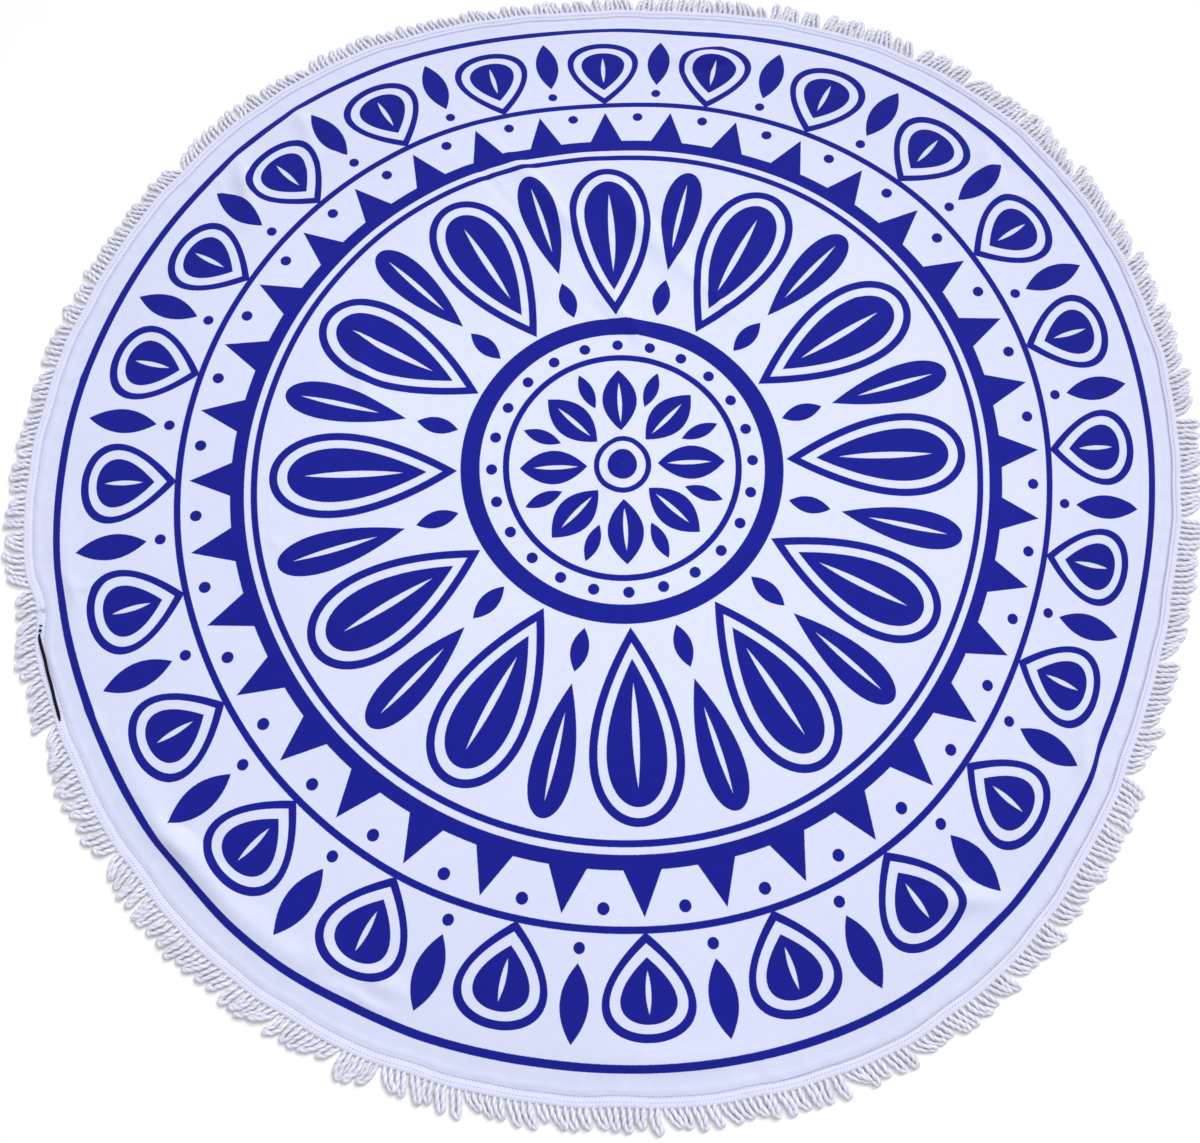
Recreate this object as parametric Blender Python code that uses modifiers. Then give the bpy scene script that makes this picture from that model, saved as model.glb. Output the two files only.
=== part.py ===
"""A round beach towel lying flat on the ground, face up.

It is two sewn pieces: a thin round cloth with a few soft folds, and one length of looped cord fringe whose
heading tape runs round the cloth's hem and whose two ends meet at the towel's left.
Units are metres and +Z is up. The towel rests on z = 0, with the origin below the middle of its box.
Directions round the edge are in degrees, counted from +X towards +Y about the cloth's middle.
"""

import math

import bmesh
import bpy

COLLECTION_NAME = "round beach towel"
CLOTH_NAME = "towel_cloth"
FRINGE_NAME = "loop_fringe"

# ---- the cloth ----
CLOTH_MIDDLE = (0.0122, 0.0220)  # where the middle of the round cut lies
HEM_RADIUS = 0.716  # mean distance from the middle to the hem
CLOTH_THICKNESS = 0.002
FOLD_CLEAR_OF_HEM = 0.040  # a fold dies away over this distance before the hem
FOLD_SHOWS_FROM = 0.0001  # the height from which a fold is modelled in a finer grid

# The laid cloth isn't a true circle. Each row is one wave round its edge.
WAVES_PER_TURN, WAVE_HEIGHT, WAVE_CREST = range(3)
EDGE_WAVES = (
    (1, 0.0135, 204),
    (2, 0.0115, 35),
    (3, 0.0155, 37),
    (4, 0.0090, 35),
    (6, 0.0035, 58),
)
PINCH_DIRECTION = 192.6  # the hem is drawn in here, where the trim's ends meet
PINCH_DEPTH = 0.010
PINCH_HALF_WIDTH = 4.2

# The main folds. Each is a soft ridge between two points, measured from the cloth's middle, which bows
# sideways by BOW halfway along.
FROM_X, FROM_Y, TO_X, TO_Y, BOW, FOLD_WIDTH, FOLD_HEIGHT = range(7)
FOLDS = (
    (-0.200, 0.525, 0.005, 0.255, 0.012, 0.066, 0.0060),
    (-0.060, 0.500, 0.195, 0.160, -0.014, 0.074, 0.0050),
    (-0.050, 0.290, 0.060, 0.130, 0.006, 0.058, 0.0040),
    (0.016, 0.120, -0.036, -0.090, 0.008, 0.060, 0.0040),
    (-0.520, 0.500, -0.484, 0.330, 0.010, 0.064, 0.0055),
    (-0.440, 0.560, -0.400, 0.450, 0.006, 0.056, 0.0040),
    (-0.344, 0.260, -0.326, 0.060, 0.006, 0.066, 0.0045),
    (0.030, 0.590, 0.250, 0.610, 0.010, 0.060, 0.0045),
    (0.520, 0.480, 0.548, 0.340, -0.008, 0.060, 0.0040),
    (0.548, -0.290, 0.520, -0.470, -0.006, 0.066, 0.0055),
    (0.270, -0.545, 0.450, -0.540, 0.006, 0.062, 0.0050),
    (-0.590, -0.400, -0.440, -0.510, 0.006, 0.064, 0.0050),
    (-0.400, -0.550, -0.230, -0.630, 0.006, 0.060, 0.0040),
)

# ---- the fringe ----
LOOPS = 300
SEAM_GAP = 0.0004  # between the cloth's edge and the tape
TAPE_WIDTH = 0.0118
TAPE_THICKNESS = 0.0026
TAPE_END_GAP = 0.0006  # between the trim's two ends
ROOT_GAP = 0.0014  # between neighbouring loops
LOOP_WIDTH = 0.0138  # the widest that a loop spreads
LOOP_LENGTH = 0.0270  # mean distance from the tape to a loop's tip, along the loop
LOOP_UNEVENNESS = 0.11  # share by which neighbouring loops differ in length and in height

# A loop's cross-sections from its root in the tape to its tip.
SHARE_OF_REACH, SHARE_OF_WIDTH, TOP_SHARE, SECTION_HEIGHT = range(4)
LOOP_SECTIONS = (
    (0.00, 1.00, 1.00, TAPE_THICKNESS),
    (0.70, 1.00, 0.70, 0.0050),
    (1.00, 0.56, 0.66, 0.0034),
)

# How the loops' length differs round the edge.
LENGTH_WAVES = (
    (1, 0.0035, 325),
    (2, 0.0030, 31),
    (4, 0.0015, 41),
)

# How the fringe is brushed: about how many degrees it leans round the edge in a few directions.
DIRECTION, LEAN = range(2)
BRUSHED = (
    (0, 15),
    (15, 30),
    (32, 35),
    (38, 15),
    (43, -25),
    (50, -20),
    (55, 30),
    (63, -5),
    (71, 30),
    (82, 0),
    (100, 35),
    (112, 30),
    (120, 5),
    (126, 35),
    (134, -5),
    (141, -25),
    (145, 35),
    (155, -5),
    (170, 25),
    (183, 20),
    (188, -20),
    (197, 30),
    (208, 35),
    (213, -30),
    (219, 30),
    (224, -25),
    (238, -35),
    (247, -5),
    (252, 35),
    (265, 35),
    (270, -5),
    (275, 40),
    (286, 10),
    (292, 40),
    (310, 30),
    (321, -5),
    (327, 30),
    (338, 40),
    (348, 10),
    (360, 15),
)

# The loops lie in locks, which differ in size and lean, and draw in towards their tips.
LOOPS_PER_LOCK = 4.6
LOCK_SIZE_UNEVENNESS = 0.45
LOCK_LEAN_UNEVENNESS = 8.0  # degrees
LOCK_DRAWN_IN = 14.0  # degrees that the loops on a lock's two sides lean towards its middle
CLOSING_LEAN = 12.0  # degrees by which two neighbours can lean towards each other
SETTLING_ROUNDS = 40  # times that neighbours leaning too far towards each other push each other back
LEAN_CURVE = 1.4  # above 1, a loop leaves the tape straight and bends over towards its tip

# ---- worked out from the sizes above ----
LOOP_STEP = 360 / LOOPS
CUTS = 2  # a coarse cell of the cloth is cut this often each way where a fold crosses it, and along the rim
COARSE_CELLS = LOOPS // 4 // (CUTS + 1)  # along a side of its grid, so that the rim has a point for each loop
OUTER_EDGE_ROW = 1  # rows of the trim: 0 is its sewn edge, 1 its outer edge and the loops' roots
ROOT_SHARE = 0.9  # how much of a straight strip's cell a loop's root takes, before the gap to the next


def turn_between(angle, other):
    """The turn from other to angle, from -180 to 180 degrees."""
    return (angle - other + 180) % 360 - 180


def bump(share):
    """1 at share 0, falling smoothly to 0 at share -1 and 1."""
    return math.cos(math.pi / 2 * share) ** 2 if abs(share) < 1 else 0.0


def waves(rows, angle):
    return sum(
        row[WAVE_HEIGHT] * math.cos(math.radians(row[WAVES_PER_TURN] * (angle - row[WAVE_CREST])))
        for row in rows
    )


def edge_radius(angle):
    """Distance from the cloth's middle to its edge."""
    drawn_in = PINCH_DEPTH * bump(turn_between(angle, PINCH_DIRECTION) / PINCH_HALF_WIDTH)
    return HEM_RADIUS + waves(EDGE_WAVES, angle) - drawn_in


def at(angle, radius, height):
    """The point in this direction at this distance from the cloth's middle."""
    turn = math.radians(angle)
    return (
        CLOTH_MIDDLE[0] + radius * math.cos(turn),
        CLOTH_MIDDLE[1] + radius * math.sin(turn),
        height,
    )


def ridge(fold, x, y):
    """Height of one fold at a point measured from the cloth's middle."""
    run_x, run_y = fold[TO_X] - fold[FROM_X], fold[TO_Y] - fold[FROM_Y]
    length = math.hypot(run_x, run_y)
    from_x, from_y = x - fold[FROM_X], y - fold[FROM_Y]
    along = (from_x * run_x + from_y * run_y) / length**2 * 2 - 1
    if abs(along) >= 1:
        return 0.0
    across = (from_y * run_x - from_x * run_y) / length - fold[BOW] * (1 - along**2)
    return fold[FOLD_HEIGHT] * bump(across / (fold[FOLD_WIDTH] / 2)) * bump(along)


def laid_point(u, v):
    """Where a point of the square grid from -1 to 1 lies: direction, distance from the middle and height.

    The square is rounded so that its rim points are evenly spaced round the edge.
    """
    right = math.sqrt(2) * math.sin(math.pi / 4 * u) * math.cos(math.pi / 4 * v)
    up = math.sqrt(2) * math.cos(math.pi / 4 * u) * math.sin(math.pi / 4 * v)
    angle = math.degrees(math.atan2(up, right))
    edge = edge_radius(angle)
    radius = edge * math.hypot(right, up)
    turn = math.radians(angle)
    fade = min((edge - radius) / FOLD_CLEAR_OF_HEM, 1)
    lift = sum(ridge(fold, radius * math.cos(turn), radius * math.sin(turn)) for fold in FOLDS)
    return angle, radius, fade * lift


def is_folded(face):
    """Whether a fold rises anywhere in this cell of the grid."""
    steps = [step / CUTS for step in range(CUTS + 1)]
    low_u, high_u = min(v.co.x for v in face.verts), max(v.co.x for v in face.verts)
    low_v, high_v = min(v.co.y for v in face.verts), max(v.co.y for v in face.verts)
    heights = [
        laid_point(low_u + (high_u - low_u) * s, low_v + (high_v - low_v) * t)[2]
        for s in steps
        for t in steps
    ]
    return max(heights) > FOLD_SHOWS_FROM


def material(name, colour, roughness):
    made = bpy.data.materials.new(name)
    made.use_nodes = True
    shader = made.node_tree.nodes["Principled BSDF"]
    shader.inputs["Base Color"].default_value = (*colour, 1)
    shader.inputs["Roughness"].default_value = roughness
    shader.inputs["Metallic"].default_value = 0
    return made


def add_object(name, built, collection, finish):
    """Puts a finished bmesh into an object of its own."""
    mesh = bpy.data.meshes.new(name)
    built.to_mesh(mesh)
    built.free()
    mesh.materials.append(finish)
    obj = bpy.data.objects.new(name, mesh)
    collection.objects.link(obj)
    return obj


def split_many_sided(built):
    """Splits the faces of more than four sides into the roundest triangles that fit."""
    many_sided = [face for face in built.faces if len(face.verts) > 4]
    bmesh.ops.triangulate(built, faces=many_sided, ngon_method="BEAUTY")


def make_cloth(collection):
    """A square grid, finer along its rim and under the folds, is rounded and then given its thickness."""
    cloth = bmesh.new()
    bmesh.ops.create_grid(cloth, x_segments=COARSE_CELLS, y_segments=COARSE_CELLS, size=1)
    finer = {edge for face in cloth.faces if is_folded(face) for edge in face.edges}
    finer.update(edge for edge in cloth.edges if edge.is_boundary)
    bmesh.ops.subdivide_edges(cloth, edges=list(finer), cuts=CUTS, use_grid_fill=True)
    split_many_sided(cloth)
    for vertex in cloth.verts:
        vertex.co = at(*laid_point(vertex.co.x, vertex.co.y))
    obj = add_object(CLOTH_NAME, cloth, collection, material("white towelling", (0.73, 0.76, 0.95), 0.9))
    obj.data.shade_smooth()
    thickness = obj.modifiers.new("thickness", "SOLIDIFY")
    thickness.thickness = CLOTH_THICKNESS
    thickness.offset = 1
    # The narrow wall round the rim isn't to bend the shading of the face beside it.
    obj.modifiers.new("normals", "WEIGHTED_NORMAL")


def boundary_angle(boundary):
    """Direction of the boundary before the loop of this number. The first one follows the trim's join."""
    return PINCH_DIRECTION + boundary * LOOP_STEP


def unevenness(loop):
    """A fixed scatter from -1 to 1 that differs from loop to loop."""
    return math.sin(loop * 12.9898) * math.cos(loop * 4.1414)


def brushed_lean(angle):
    """Degrees that the fringe leans in this direction, between two rows of the table."""
    angle %= 360
    after = next(row for row in BRUSHED if row[DIRECTION] > angle)
    before = BRUSHED[BRUSHED.index(after) - 1]
    share = (angle - before[DIRECTION]) / (after[DIRECTION] - before[DIRECTION])
    return before[LEAN] + (after[LEAN] - before[LEAN]) * share


def lock_leans():
    """Each loop's lean in degrees, lock by lock."""
    leans = []
    lock = 0
    while len(leans) < LOOPS:
        size = round(LOOPS_PER_LOCK * (1 + LOCK_SIZE_UNEVENNESS * unevenness(lock)))
        middle = len(leans) + size / 2
        lean = brushed_lean(boundary_angle(middle)) + LOCK_LEAN_UNEVENNESS * unevenness(lock + LOOPS)
        for place in range(size):
            leans.append(lean + LOCK_DRAWN_IN * (1 - (2 * place + 1) / size))
        lock += 1
    return leans[:LOOPS]


def settled_leans():
    """Each loop's lean in degrees, once loops that lean towards each other have held each other up."""
    leans = lock_leans()
    for _ in range(SETTLING_ROUNDS):
        for loop in range(LOOPS):
            too_far = max(leans[loop - 1] - leans[loop] - CLOSING_LEAN, 0)
            leans[loop - 1] -= too_far / 2
            leans[loop] += too_far / 2
    return leans


LEANS = settled_leans()


def tip_shift(loop):
    """How far a loop's tip lies round the edge from its root."""
    return LOOP_LENGTH * math.sin(math.radians(LEANS[loop % LOOPS]))


def side_shifts(loop):
    """How far the two sides of a loop's tip lie round the edge. Closing neighbours share the room."""
    own = tip_shift(loop)
    start = max(own, (tip_shift(loop - 1) + own) / 2)
    end = min(own, (own + tip_shift(loop + 1)) / 2)
    return start, end


def loop_corner(loop, section, after, high):
    """A corner of one of a loop's cross-sections: before or after the loop's middle, and high or low."""
    length = LOOP_LENGTH + waves(LENGTH_WAVES, boundary_angle(loop))
    length *= 1 + LOOP_UNEVENNESS * unevenness(loop)
    reach = length * math.cos(math.radians(LEANS[loop])) * section[SHARE_OF_REACH]
    bent = section[SHARE_OF_REACH] ** LEAN_CURVE * length / LOOP_LENGTH
    start_shift, end_shift = side_shifts(loop)
    degrees_per_metre = math.degrees(1 / (HEM_RADIUS + TAPE_WIDTH + reach))
    start = boundary_angle(loop) + degrees_per_metre * (ROOT_GAP / 2 + bent * start_shift)
    end = boundary_angle(loop + 1) - degrees_per_metre * (ROOT_GAP / 2 - bent * end_shift)
    half_width = min((end - start) / 2, LOOP_WIDTH / 2 * degrees_per_metre) * section[SHARE_OF_WIDTH]
    if high:
        half_width *= section[TOP_SHARE]
    angle = (start + end) / 2 + (half_width if after else -half_width)
    radius = edge_radius(angle) + SEAM_GAP + TAPE_WIDTH + reach
    height = section[SECTION_HEIGHT]
    if section[SHARE_OF_REACH] > 0:
        height *= 1 + LOOP_UNEVENNESS * unevenness(loop + LOOPS)
    return at(angle, radius, height if high else 0.0)


def tape_corner(boundary, row, high):
    """A point of the heading tape between two loops, on its sewn edge or on its outer edge."""
    end_ease = math.degrees(TAPE_END_GAP / 2 / HEM_RADIUS)
    angle = boundary_angle(boundary) + {0: end_ease, LOOPS: -end_ease}.get(boundary, 0.0)
    radius = edge_radius(angle) + SEAM_GAP + row * TAPE_WIDTH
    return at(angle, radius, TAPE_THICKNESS if high else 0.0)


def trim_point(x, y, z):
    """Where a point of the straight strip lies. x counts loops and y rows, and z is 0 below and 1 above."""
    loop, row, high = math.floor(x), round(y), z > 0.5
    if row < OUTER_EDGE_ROW or loop == LOOPS:
        return tape_corner(round(x), row, high)
    return loop_corner(loop, LOOP_SECTIONS[row - OUTER_EDGE_ROW], x > loop, high)


def make_fringe(collection):
    """A straight strip with a cell for each loop. The loops are pulled from its edge and it is laid round."""
    trim = bmesh.new()
    bmesh.ops.create_grid(trim, x_segments=LOOPS, y_segments=1, size=0.5)
    for vertex in trim.verts:
        vertex.co = (round((vertex.co.x + 0.5) * LOOPS), round(vertex.co.y + 0.5), 0)
    outer_edges = [edge for edge in trim.edges if all(v.co.y == OUTER_EDGE_ROW for v in edge.verts)]
    bmesh.ops.bisect_edges(trim, edges=outer_edges, cuts=1)
    for vertex in trim.verts:
        if vertex.co.x != round(vertex.co.x):
            vertex.co.x = math.floor(vertex.co.x) + ROOT_SHARE
    raised = bmesh.ops.extrude_face_region(trim, geom=trim.faces[:])["geom"]
    bmesh.ops.translate(trim, verts=[g for g in raised if isinstance(g, bmesh.types.BMVert)], vec=(0, 0, 1))
    bmesh.ops.recalc_face_normals(trim, faces=trim.faces)

    roots = [face for face in trim.faces if face.normal.y > 0.5 and face.calc_area() > ROOT_SHARE / 2]
    for _ in LOOP_SECTIONS[1:]:
        roots = bmesh.ops.extrude_discrete_faces(trim, faces=roots)["faces"]
        bmesh.ops.translate(trim, verts=list({v for face in roots for v in face.verts}), vec=(0, 1, 0))
    for vertex in trim.verts:
        vertex.co = trim_point(*vertex.co)
    # Laid round with its rows outwards, the strip is mirrored, so its faces point inwards until reversed.
    bmesh.ops.reverse_faces(trim, faces=trim.faces)
    split_many_sided(trim)
    add_object(FRINGE_NAME, trim, collection, material("white cotton cord", (0.70, 0.69, 0.80), 0.85))


def main():
    for obj in list(bpy.data.objects):
        bpy.data.objects.remove(obj)
    collection = bpy.data.collections.new(COLLECTION_NAME)
    bpy.context.scene.collection.children.link(collection)
    make_cloth(collection)
    make_fringe(collection)


main()
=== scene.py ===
"""Round beach towel: printed towelling with a fringe of twisted cord loops, lying flat, face up.

Lengths are in metres. Directions round the edge are in degrees, counted from +X towards +Y about the
cloth's middle. The cloth and the fringe keep to the shape of the two solids that they stand for.
"""

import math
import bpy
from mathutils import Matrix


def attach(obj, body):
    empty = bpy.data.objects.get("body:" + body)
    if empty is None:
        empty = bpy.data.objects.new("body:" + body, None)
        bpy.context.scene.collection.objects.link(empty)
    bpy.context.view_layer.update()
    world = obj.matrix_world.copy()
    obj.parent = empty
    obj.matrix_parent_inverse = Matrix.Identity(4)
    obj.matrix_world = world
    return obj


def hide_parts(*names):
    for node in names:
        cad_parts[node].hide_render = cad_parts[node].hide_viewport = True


bl_info = {
    "name": "Round beach towel",
    "version": (1, 0, 0),
    "blender": (4, 5, 0),
    "location": "3D View > Sidebar > Towel",
    "description": "Lays out a printed round towel with a looped cord fringe",
    "category": "Object",
}

import bmesh
import bpy
import numpy as np

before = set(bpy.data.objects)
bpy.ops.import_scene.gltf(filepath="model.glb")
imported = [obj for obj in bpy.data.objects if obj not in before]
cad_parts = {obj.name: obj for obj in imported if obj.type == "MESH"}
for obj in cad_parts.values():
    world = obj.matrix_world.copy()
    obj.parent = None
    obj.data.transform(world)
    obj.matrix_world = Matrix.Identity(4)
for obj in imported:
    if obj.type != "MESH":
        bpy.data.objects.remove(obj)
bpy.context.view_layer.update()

# ---- the cloth as it lies, the same as its solid ----
CLOTH_MIDDLE = (0.0122, 0.0220)  # where the middle of the round cut and of its print lies
HEM_RADIUS = 0.716  # mean distance from the middle to the hem

# The laid cloth isn't a true circle. Each row is one wave round its edge.
WAVES_PER_TURN, WAVE_HEIGHT, WAVE_CREST = range(3)
EDGE_WAVES = (
    (1, 0.0135, 204),
    (2, 0.0115, 35),
    (3, 0.0155, 37),
    (4, 0.0090, 35),
    (6, 0.0035, 58),
)
PINCH_DIRECTION = 192.6  # the hem is drawn in here, where the trim's ends meet
PINCH_DEPTH = 0.010
PINCH_HALF_WIDTH = 4.2

# Folds and creases. Each is a soft ridge, or a trough where its height is below zero, between two points
# measured from the cloth's middle, which bows sideways by BOW halfway along.
FROM_X, FROM_Y, TO_X, TO_Y, BOW, FOLD_WIDTH, FOLD_HEIGHT = range(7)
MAIN_FOLDS = (
    (-0.200, 0.525, 0.005, 0.255, 0.012, 0.066, 0.0060),
    (-0.060, 0.500, 0.195, 0.160, -0.014, 0.074, 0.0050),
    (-0.050, 0.290, 0.060, 0.130, 0.006, 0.058, 0.0040),
    (0.016, 0.120, -0.036, -0.090, 0.008, 0.060, 0.0040),
    (-0.520, 0.500, -0.484, 0.330, 0.010, 0.064, 0.0055),
    (-0.440, 0.560, -0.400, 0.450, 0.006, 0.056, 0.0040),
    (-0.344, 0.260, -0.326, 0.060, 0.006, 0.066, 0.0045),
    (0.030, 0.590, 0.250, 0.610, 0.010, 0.060, 0.0045),
    (0.520, 0.480, 0.548, 0.340, -0.008, 0.060, 0.0040),
    (0.548, -0.290, 0.520, -0.470, -0.006, 0.066, 0.0055),
    (0.270, -0.545, 0.450, -0.540, 0.006, 0.062, 0.0050),
    (-0.590, -0.400, -0.440, -0.510, 0.006, 0.064, 0.0050),
    (-0.400, -0.550, -0.230, -0.630, 0.006, 0.060, 0.0040),
)
FINE_CREASES = (
    (-0.165, 0.505, -0.010, 0.290, 0.010, 0.026, -0.0022),
    (-0.236, 0.500, -0.060, 0.272, 0.008, 0.022, -0.0016),
    (0.000, 0.455, 0.150, 0.250, -0.010, 0.024, -0.0020),
    (0.060, 0.330, 0.186, 0.172, -0.006, 0.020, 0.0024),
    (-0.014, 0.262, 0.046, 0.116, 0.004, 0.018, 0.0021),
    (-0.062, 0.262, 0.018, 0.150, 0.004, 0.018, -0.0014),
    (0.026, 0.100, -0.012, -0.044, 0.004, 0.018, 0.0019),
    (-0.002, 0.090, -0.034, -0.020, 0.004, 0.018, -0.0014),
    (-0.346, 0.226, -0.330, 0.104, 0.003, 0.018, 0.0020),
    (-0.322, 0.212, -0.308, 0.120, 0.003, 0.018, -0.0014),
    (-0.484, 0.404, -0.322, 0.490, 0.008, 0.016, 0.0017),
    (-0.502, 0.488, -0.472, 0.352, 0.006, 0.020, -0.0016),
    (-0.540, 0.446, -0.520, 0.380, 0.004, 0.018, 0.0017),
    (-0.418, 0.536, -0.384, 0.462, 0.004, 0.016, -0.0013),
    (0.060, 0.574, 0.214, 0.588, 0.006, 0.020, -0.0016),
    (0.116, 0.604, 0.236, 0.640, 0.004, 0.018, 0.0019),
    (0.110, 0.590, 0.220, 0.602, -0.003, 0.016, -0.0015),
    (0.130, 0.648, 0.230, 0.652, 0.003, 0.016, 0.0017),
    (0.488, 0.560, 0.610, 0.410, -0.012, 0.022, 0.0022),
    (0.536, 0.462, 0.560, 0.388, -0.004, 0.016, -0.0014),
    (0.560, -0.312, 0.536, -0.440, -0.004, 0.020, -0.0019),
    (0.506, -0.442, 0.486, -0.520, -0.003, 0.018, 0.0019),
    (0.286, -0.612, 0.376, -0.603, 0.003, 0.018, 0.0018),
    (0.300, -0.524, 0.420, -0.520, 0.004, 0.020, -0.0016),
    (-0.570, -0.390, -0.460, -0.480, 0.006, 0.020, -0.0016),
    (-0.380, -0.584, -0.262, -0.640, 0.004, 0.020, 0.0018),
    (-0.706, 0.120, -0.668, 0.172, 0.003, 0.018, 0.0017),
    (-0.688, -0.140, -0.620, -0.128, 0.003, 0.020, 0.0019),
    (-0.622, 0.018, -0.566, 0.008, 0.003, 0.018, 0.0015),
    (-0.446, -0.068, -0.418, -0.110, 0.002, 0.018, 0.0015),
    (-0.664, -0.262, -0.610, -0.330, 0.004, 0.020, 0.0019),
    (0.120, -0.420, 0.196, -0.470, 0.004, 0.018, 0.0013),
    (0.300, 0.250, 0.352, 0.180, -0.003, 0.018, 0.0013),
    (-0.180, -0.250, -0.214, -0.330, 0.003, 0.018, 0.0013),
)
CREST_SHARPNESS = 4  # above 0, a crease's top is narrower than a plain wave's
CREASE_WOBBLE, CREASE_WINDS = 0.0018, 7  # how far a crease wanders to its sides, and radians each way of that
CREASE_UNEVENNESS, CREASE_SWELLS = 0.30, 5  # share by which it rises and falls, and radians each way of that
GATHER_SHARE = 1.1  # cloth taken up by a main fold, for each unit of its height
GATHER_REACH = 0.085  # the print beside a fold is shifted over about this distance
GATHER_SUDDENNESS = 4  # how suddenly that shift changes side at the fold's top

# Swells that run beside the hem.
SWELL_FROM, SWELL_TO, SWELL_INSIDE, SWELL_WIDTH, SWELL_HEIGHT = range(5)
HEM_SWELLS = (
    (203, 246, 0.046, 0.060, 0.0042),
    (24, 56, 0.030, 0.036, 0.0034),
    (-14, 6, 0.052, 0.050, 0.0028),
    (260, 286, 0.034, 0.040, 0.0034),
    (176, 199, 0.036, 0.036, 0.0030),
    (78, 100, 0.030, 0.034, 0.0024),
    (118, 146, 0.032, 0.034, 0.0024),
    (306, 330, 0.034, 0.036, 0.0026),
)

# Broad low waves over the whole cloth: waves a metre along X and Y, height and start in degrees.
PER_METRE_X, PER_METRE_Y, BROAD_HEIGHT, BROAD_START = range(4)
BROAD_WAVES = (
    (2.9, 1.3, 0.00050, 20),
    (-1.7, 3.6, 0.00045, 140),
    (4.4, -2.2, 0.00032, 260),
    (1.1, 6.1, 0.00024, 75),
    (-6.6, -2.8, 0.00020, 310),
)
FOLD_CLEAR_OF_HEM = 0.040  # a fold dies away over this distance before the hem
LOFT = 0.0016  # the cloth lies this much above the ground where no fold lifts it
PUCKERS = ((83, 0.00030, 12), (131, 0.00026, 47), (197, 0.00016, 101))  # rows as in EDGE_WAVES
PUCKER_REACH = 0.028  # the puckers of the sewn hem die away over this distance
PUCKER_RISE = 0.004  # they rise over this distance from the edge
UPPER_SIDE = 0.3  # a normal's least Z on the upper side
SMOOTH_UNDER = 50  # degrees between faces, under which the cloth is shaded smooth

# The grid that the cloth is made from.
COARSE_CELLS = 110  # along a side
CUTS = 2  # a coarse cell is cut this often each way along a crease and near the hem
HEM_CELLS = 2  # coarse cells across the hem
FINE_RIM_CELLS = 4  # coarse cells from the edge that are always cut
CREASE_SHOWS_FROM = 0.00012  # the height from which a crease is made in the finer grid

# ---- the fringe, the same as its solid ----
LOOPS = 300
LOOP_STEP = 360 / LOOPS
SEAM_GAP = 0.0004  # between the cloth's edge and the tape
TAPE_WIDTH = 0.0118
TAPE_END_GAP = 0.0006  # between the trim's two ends
ROOT_GAP = 0.0014  # between neighbouring loops
LOOP_LENGTH = 0.0270  # mean distance from the tape to a loop's tip, along the loop
LOOP_UNEVENNESS = 0.11  # share by which neighbouring loops differ in length
SCATTER_STEPS = (12.9898, 4.1414)  # radians from loop to loop that never repeat in step
LENGTH_WAVES = (
    (1, 0.0035, 325),
    (2, 0.0030, 31),
    (4, 0.0015, 41),
)

# How the fringe is brushed: about how many degrees it leans round the edge in a few directions.
# Each pair is a direction and the lean there, and the last one repeats the first.
BRUSHED = (
    *((0, 15), (15, 30), (32, 35), (38, 15), (43, -25), (50, -20), (55, 30), (63, -5), (71, 30), (82, 0)),
    *((100, 35), (112, 30), (120, 5), (126, 35), (134, -5), (141, -25), (145, 35), (155, -5), (170, 25)),
    *((183, 20), (188, -20), (197, 30), (208, 35), (213, -30), (219, 30), (224, -25), (238, -35)),
    *((247, -5), (252, 35), (265, 35), (270, -5), (275, 40), (286, 10), (292, 40), (310, 30)),
    *((321, -5), (327, 30), (338, 40), (348, 10), (360, 15)),
)

# The loops lie in locks, which differ in size and lean, and draw in towards their tips.
LOOPS_PER_LOCK = 4.6
LOCK_SIZE_UNEVENNESS = 0.45
LOCK_LEAN_UNEVENNESS = 8.0  # degrees
LOCK_DRAWN_IN = 14.0  # degrees that the loops on a lock's two sides lean towards its middle
CLOSING_LEAN = 12.0  # degrees by which two neighbours can lean towards each other
SETTLING_ROUNDS = 40  # times that neighbours leaning too far towards each other push each other back
LEAN_CURVE = 1.4  # above 1, a loop leaves the tape straight and bends over towards its tip

# Each loop's own lie. A pair is the lowest and highest share of the usual size.
LEGS_APART_RANGE = (0.92, 1.06)
CORD_WIDTH_RANGE = (0.88, 1.06)
REACH_RANGE = (0.90, 1.05)
TWIST_RANGE = (0.85, 1.2)
LOOP_WIDTH_LIMITS = (0.55, 1.1)  # how far its neighbours can close or open a loop
LEAN_SQUEEZE = 0.5  # the power of the lean's cosine by which a leaning loop's cord is thinned
OWN_LEAN = 0.0022  # how far its tip leans to one side on its own, as a standard deviation
TIP_HOOK, HOOK_CURVE = 0.0028, 4  # how far its tip hooks to one side, likewise, and how late it does
WANDER, WANDER_RUN = 0.0009, 0.0045  # how far its legs wander, and the run in which they turn by a radian
WANDERS_FROM, STACKED_FROM = 1 / 3, 1 / 2  # shares of its reach from which it wanders and is stacked fully
LIFT = 0.0014  # the most that the middle of a loop stands off the ground
STACK_HEIGHT = 0.0028  # how much higher its second leg would lie, were it to lie all along the edge

# The seam between the hem and the tape stands a little open round the right side.
SEAM_OPEN_MIDDLE, SEAM_OPEN_HALF_TURN = 347, 68
SEAM_OPEN_WIDTH = 0.0012
SEAM_OPENS_OVER = 8  # degrees over which it opens at its two ends
HEM_WOBBLE = ((23, 0.0006, 40), (37, 0.0006, 10), (61, 0.0004, 75))  # rows as in EDGE_WAVES

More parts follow.
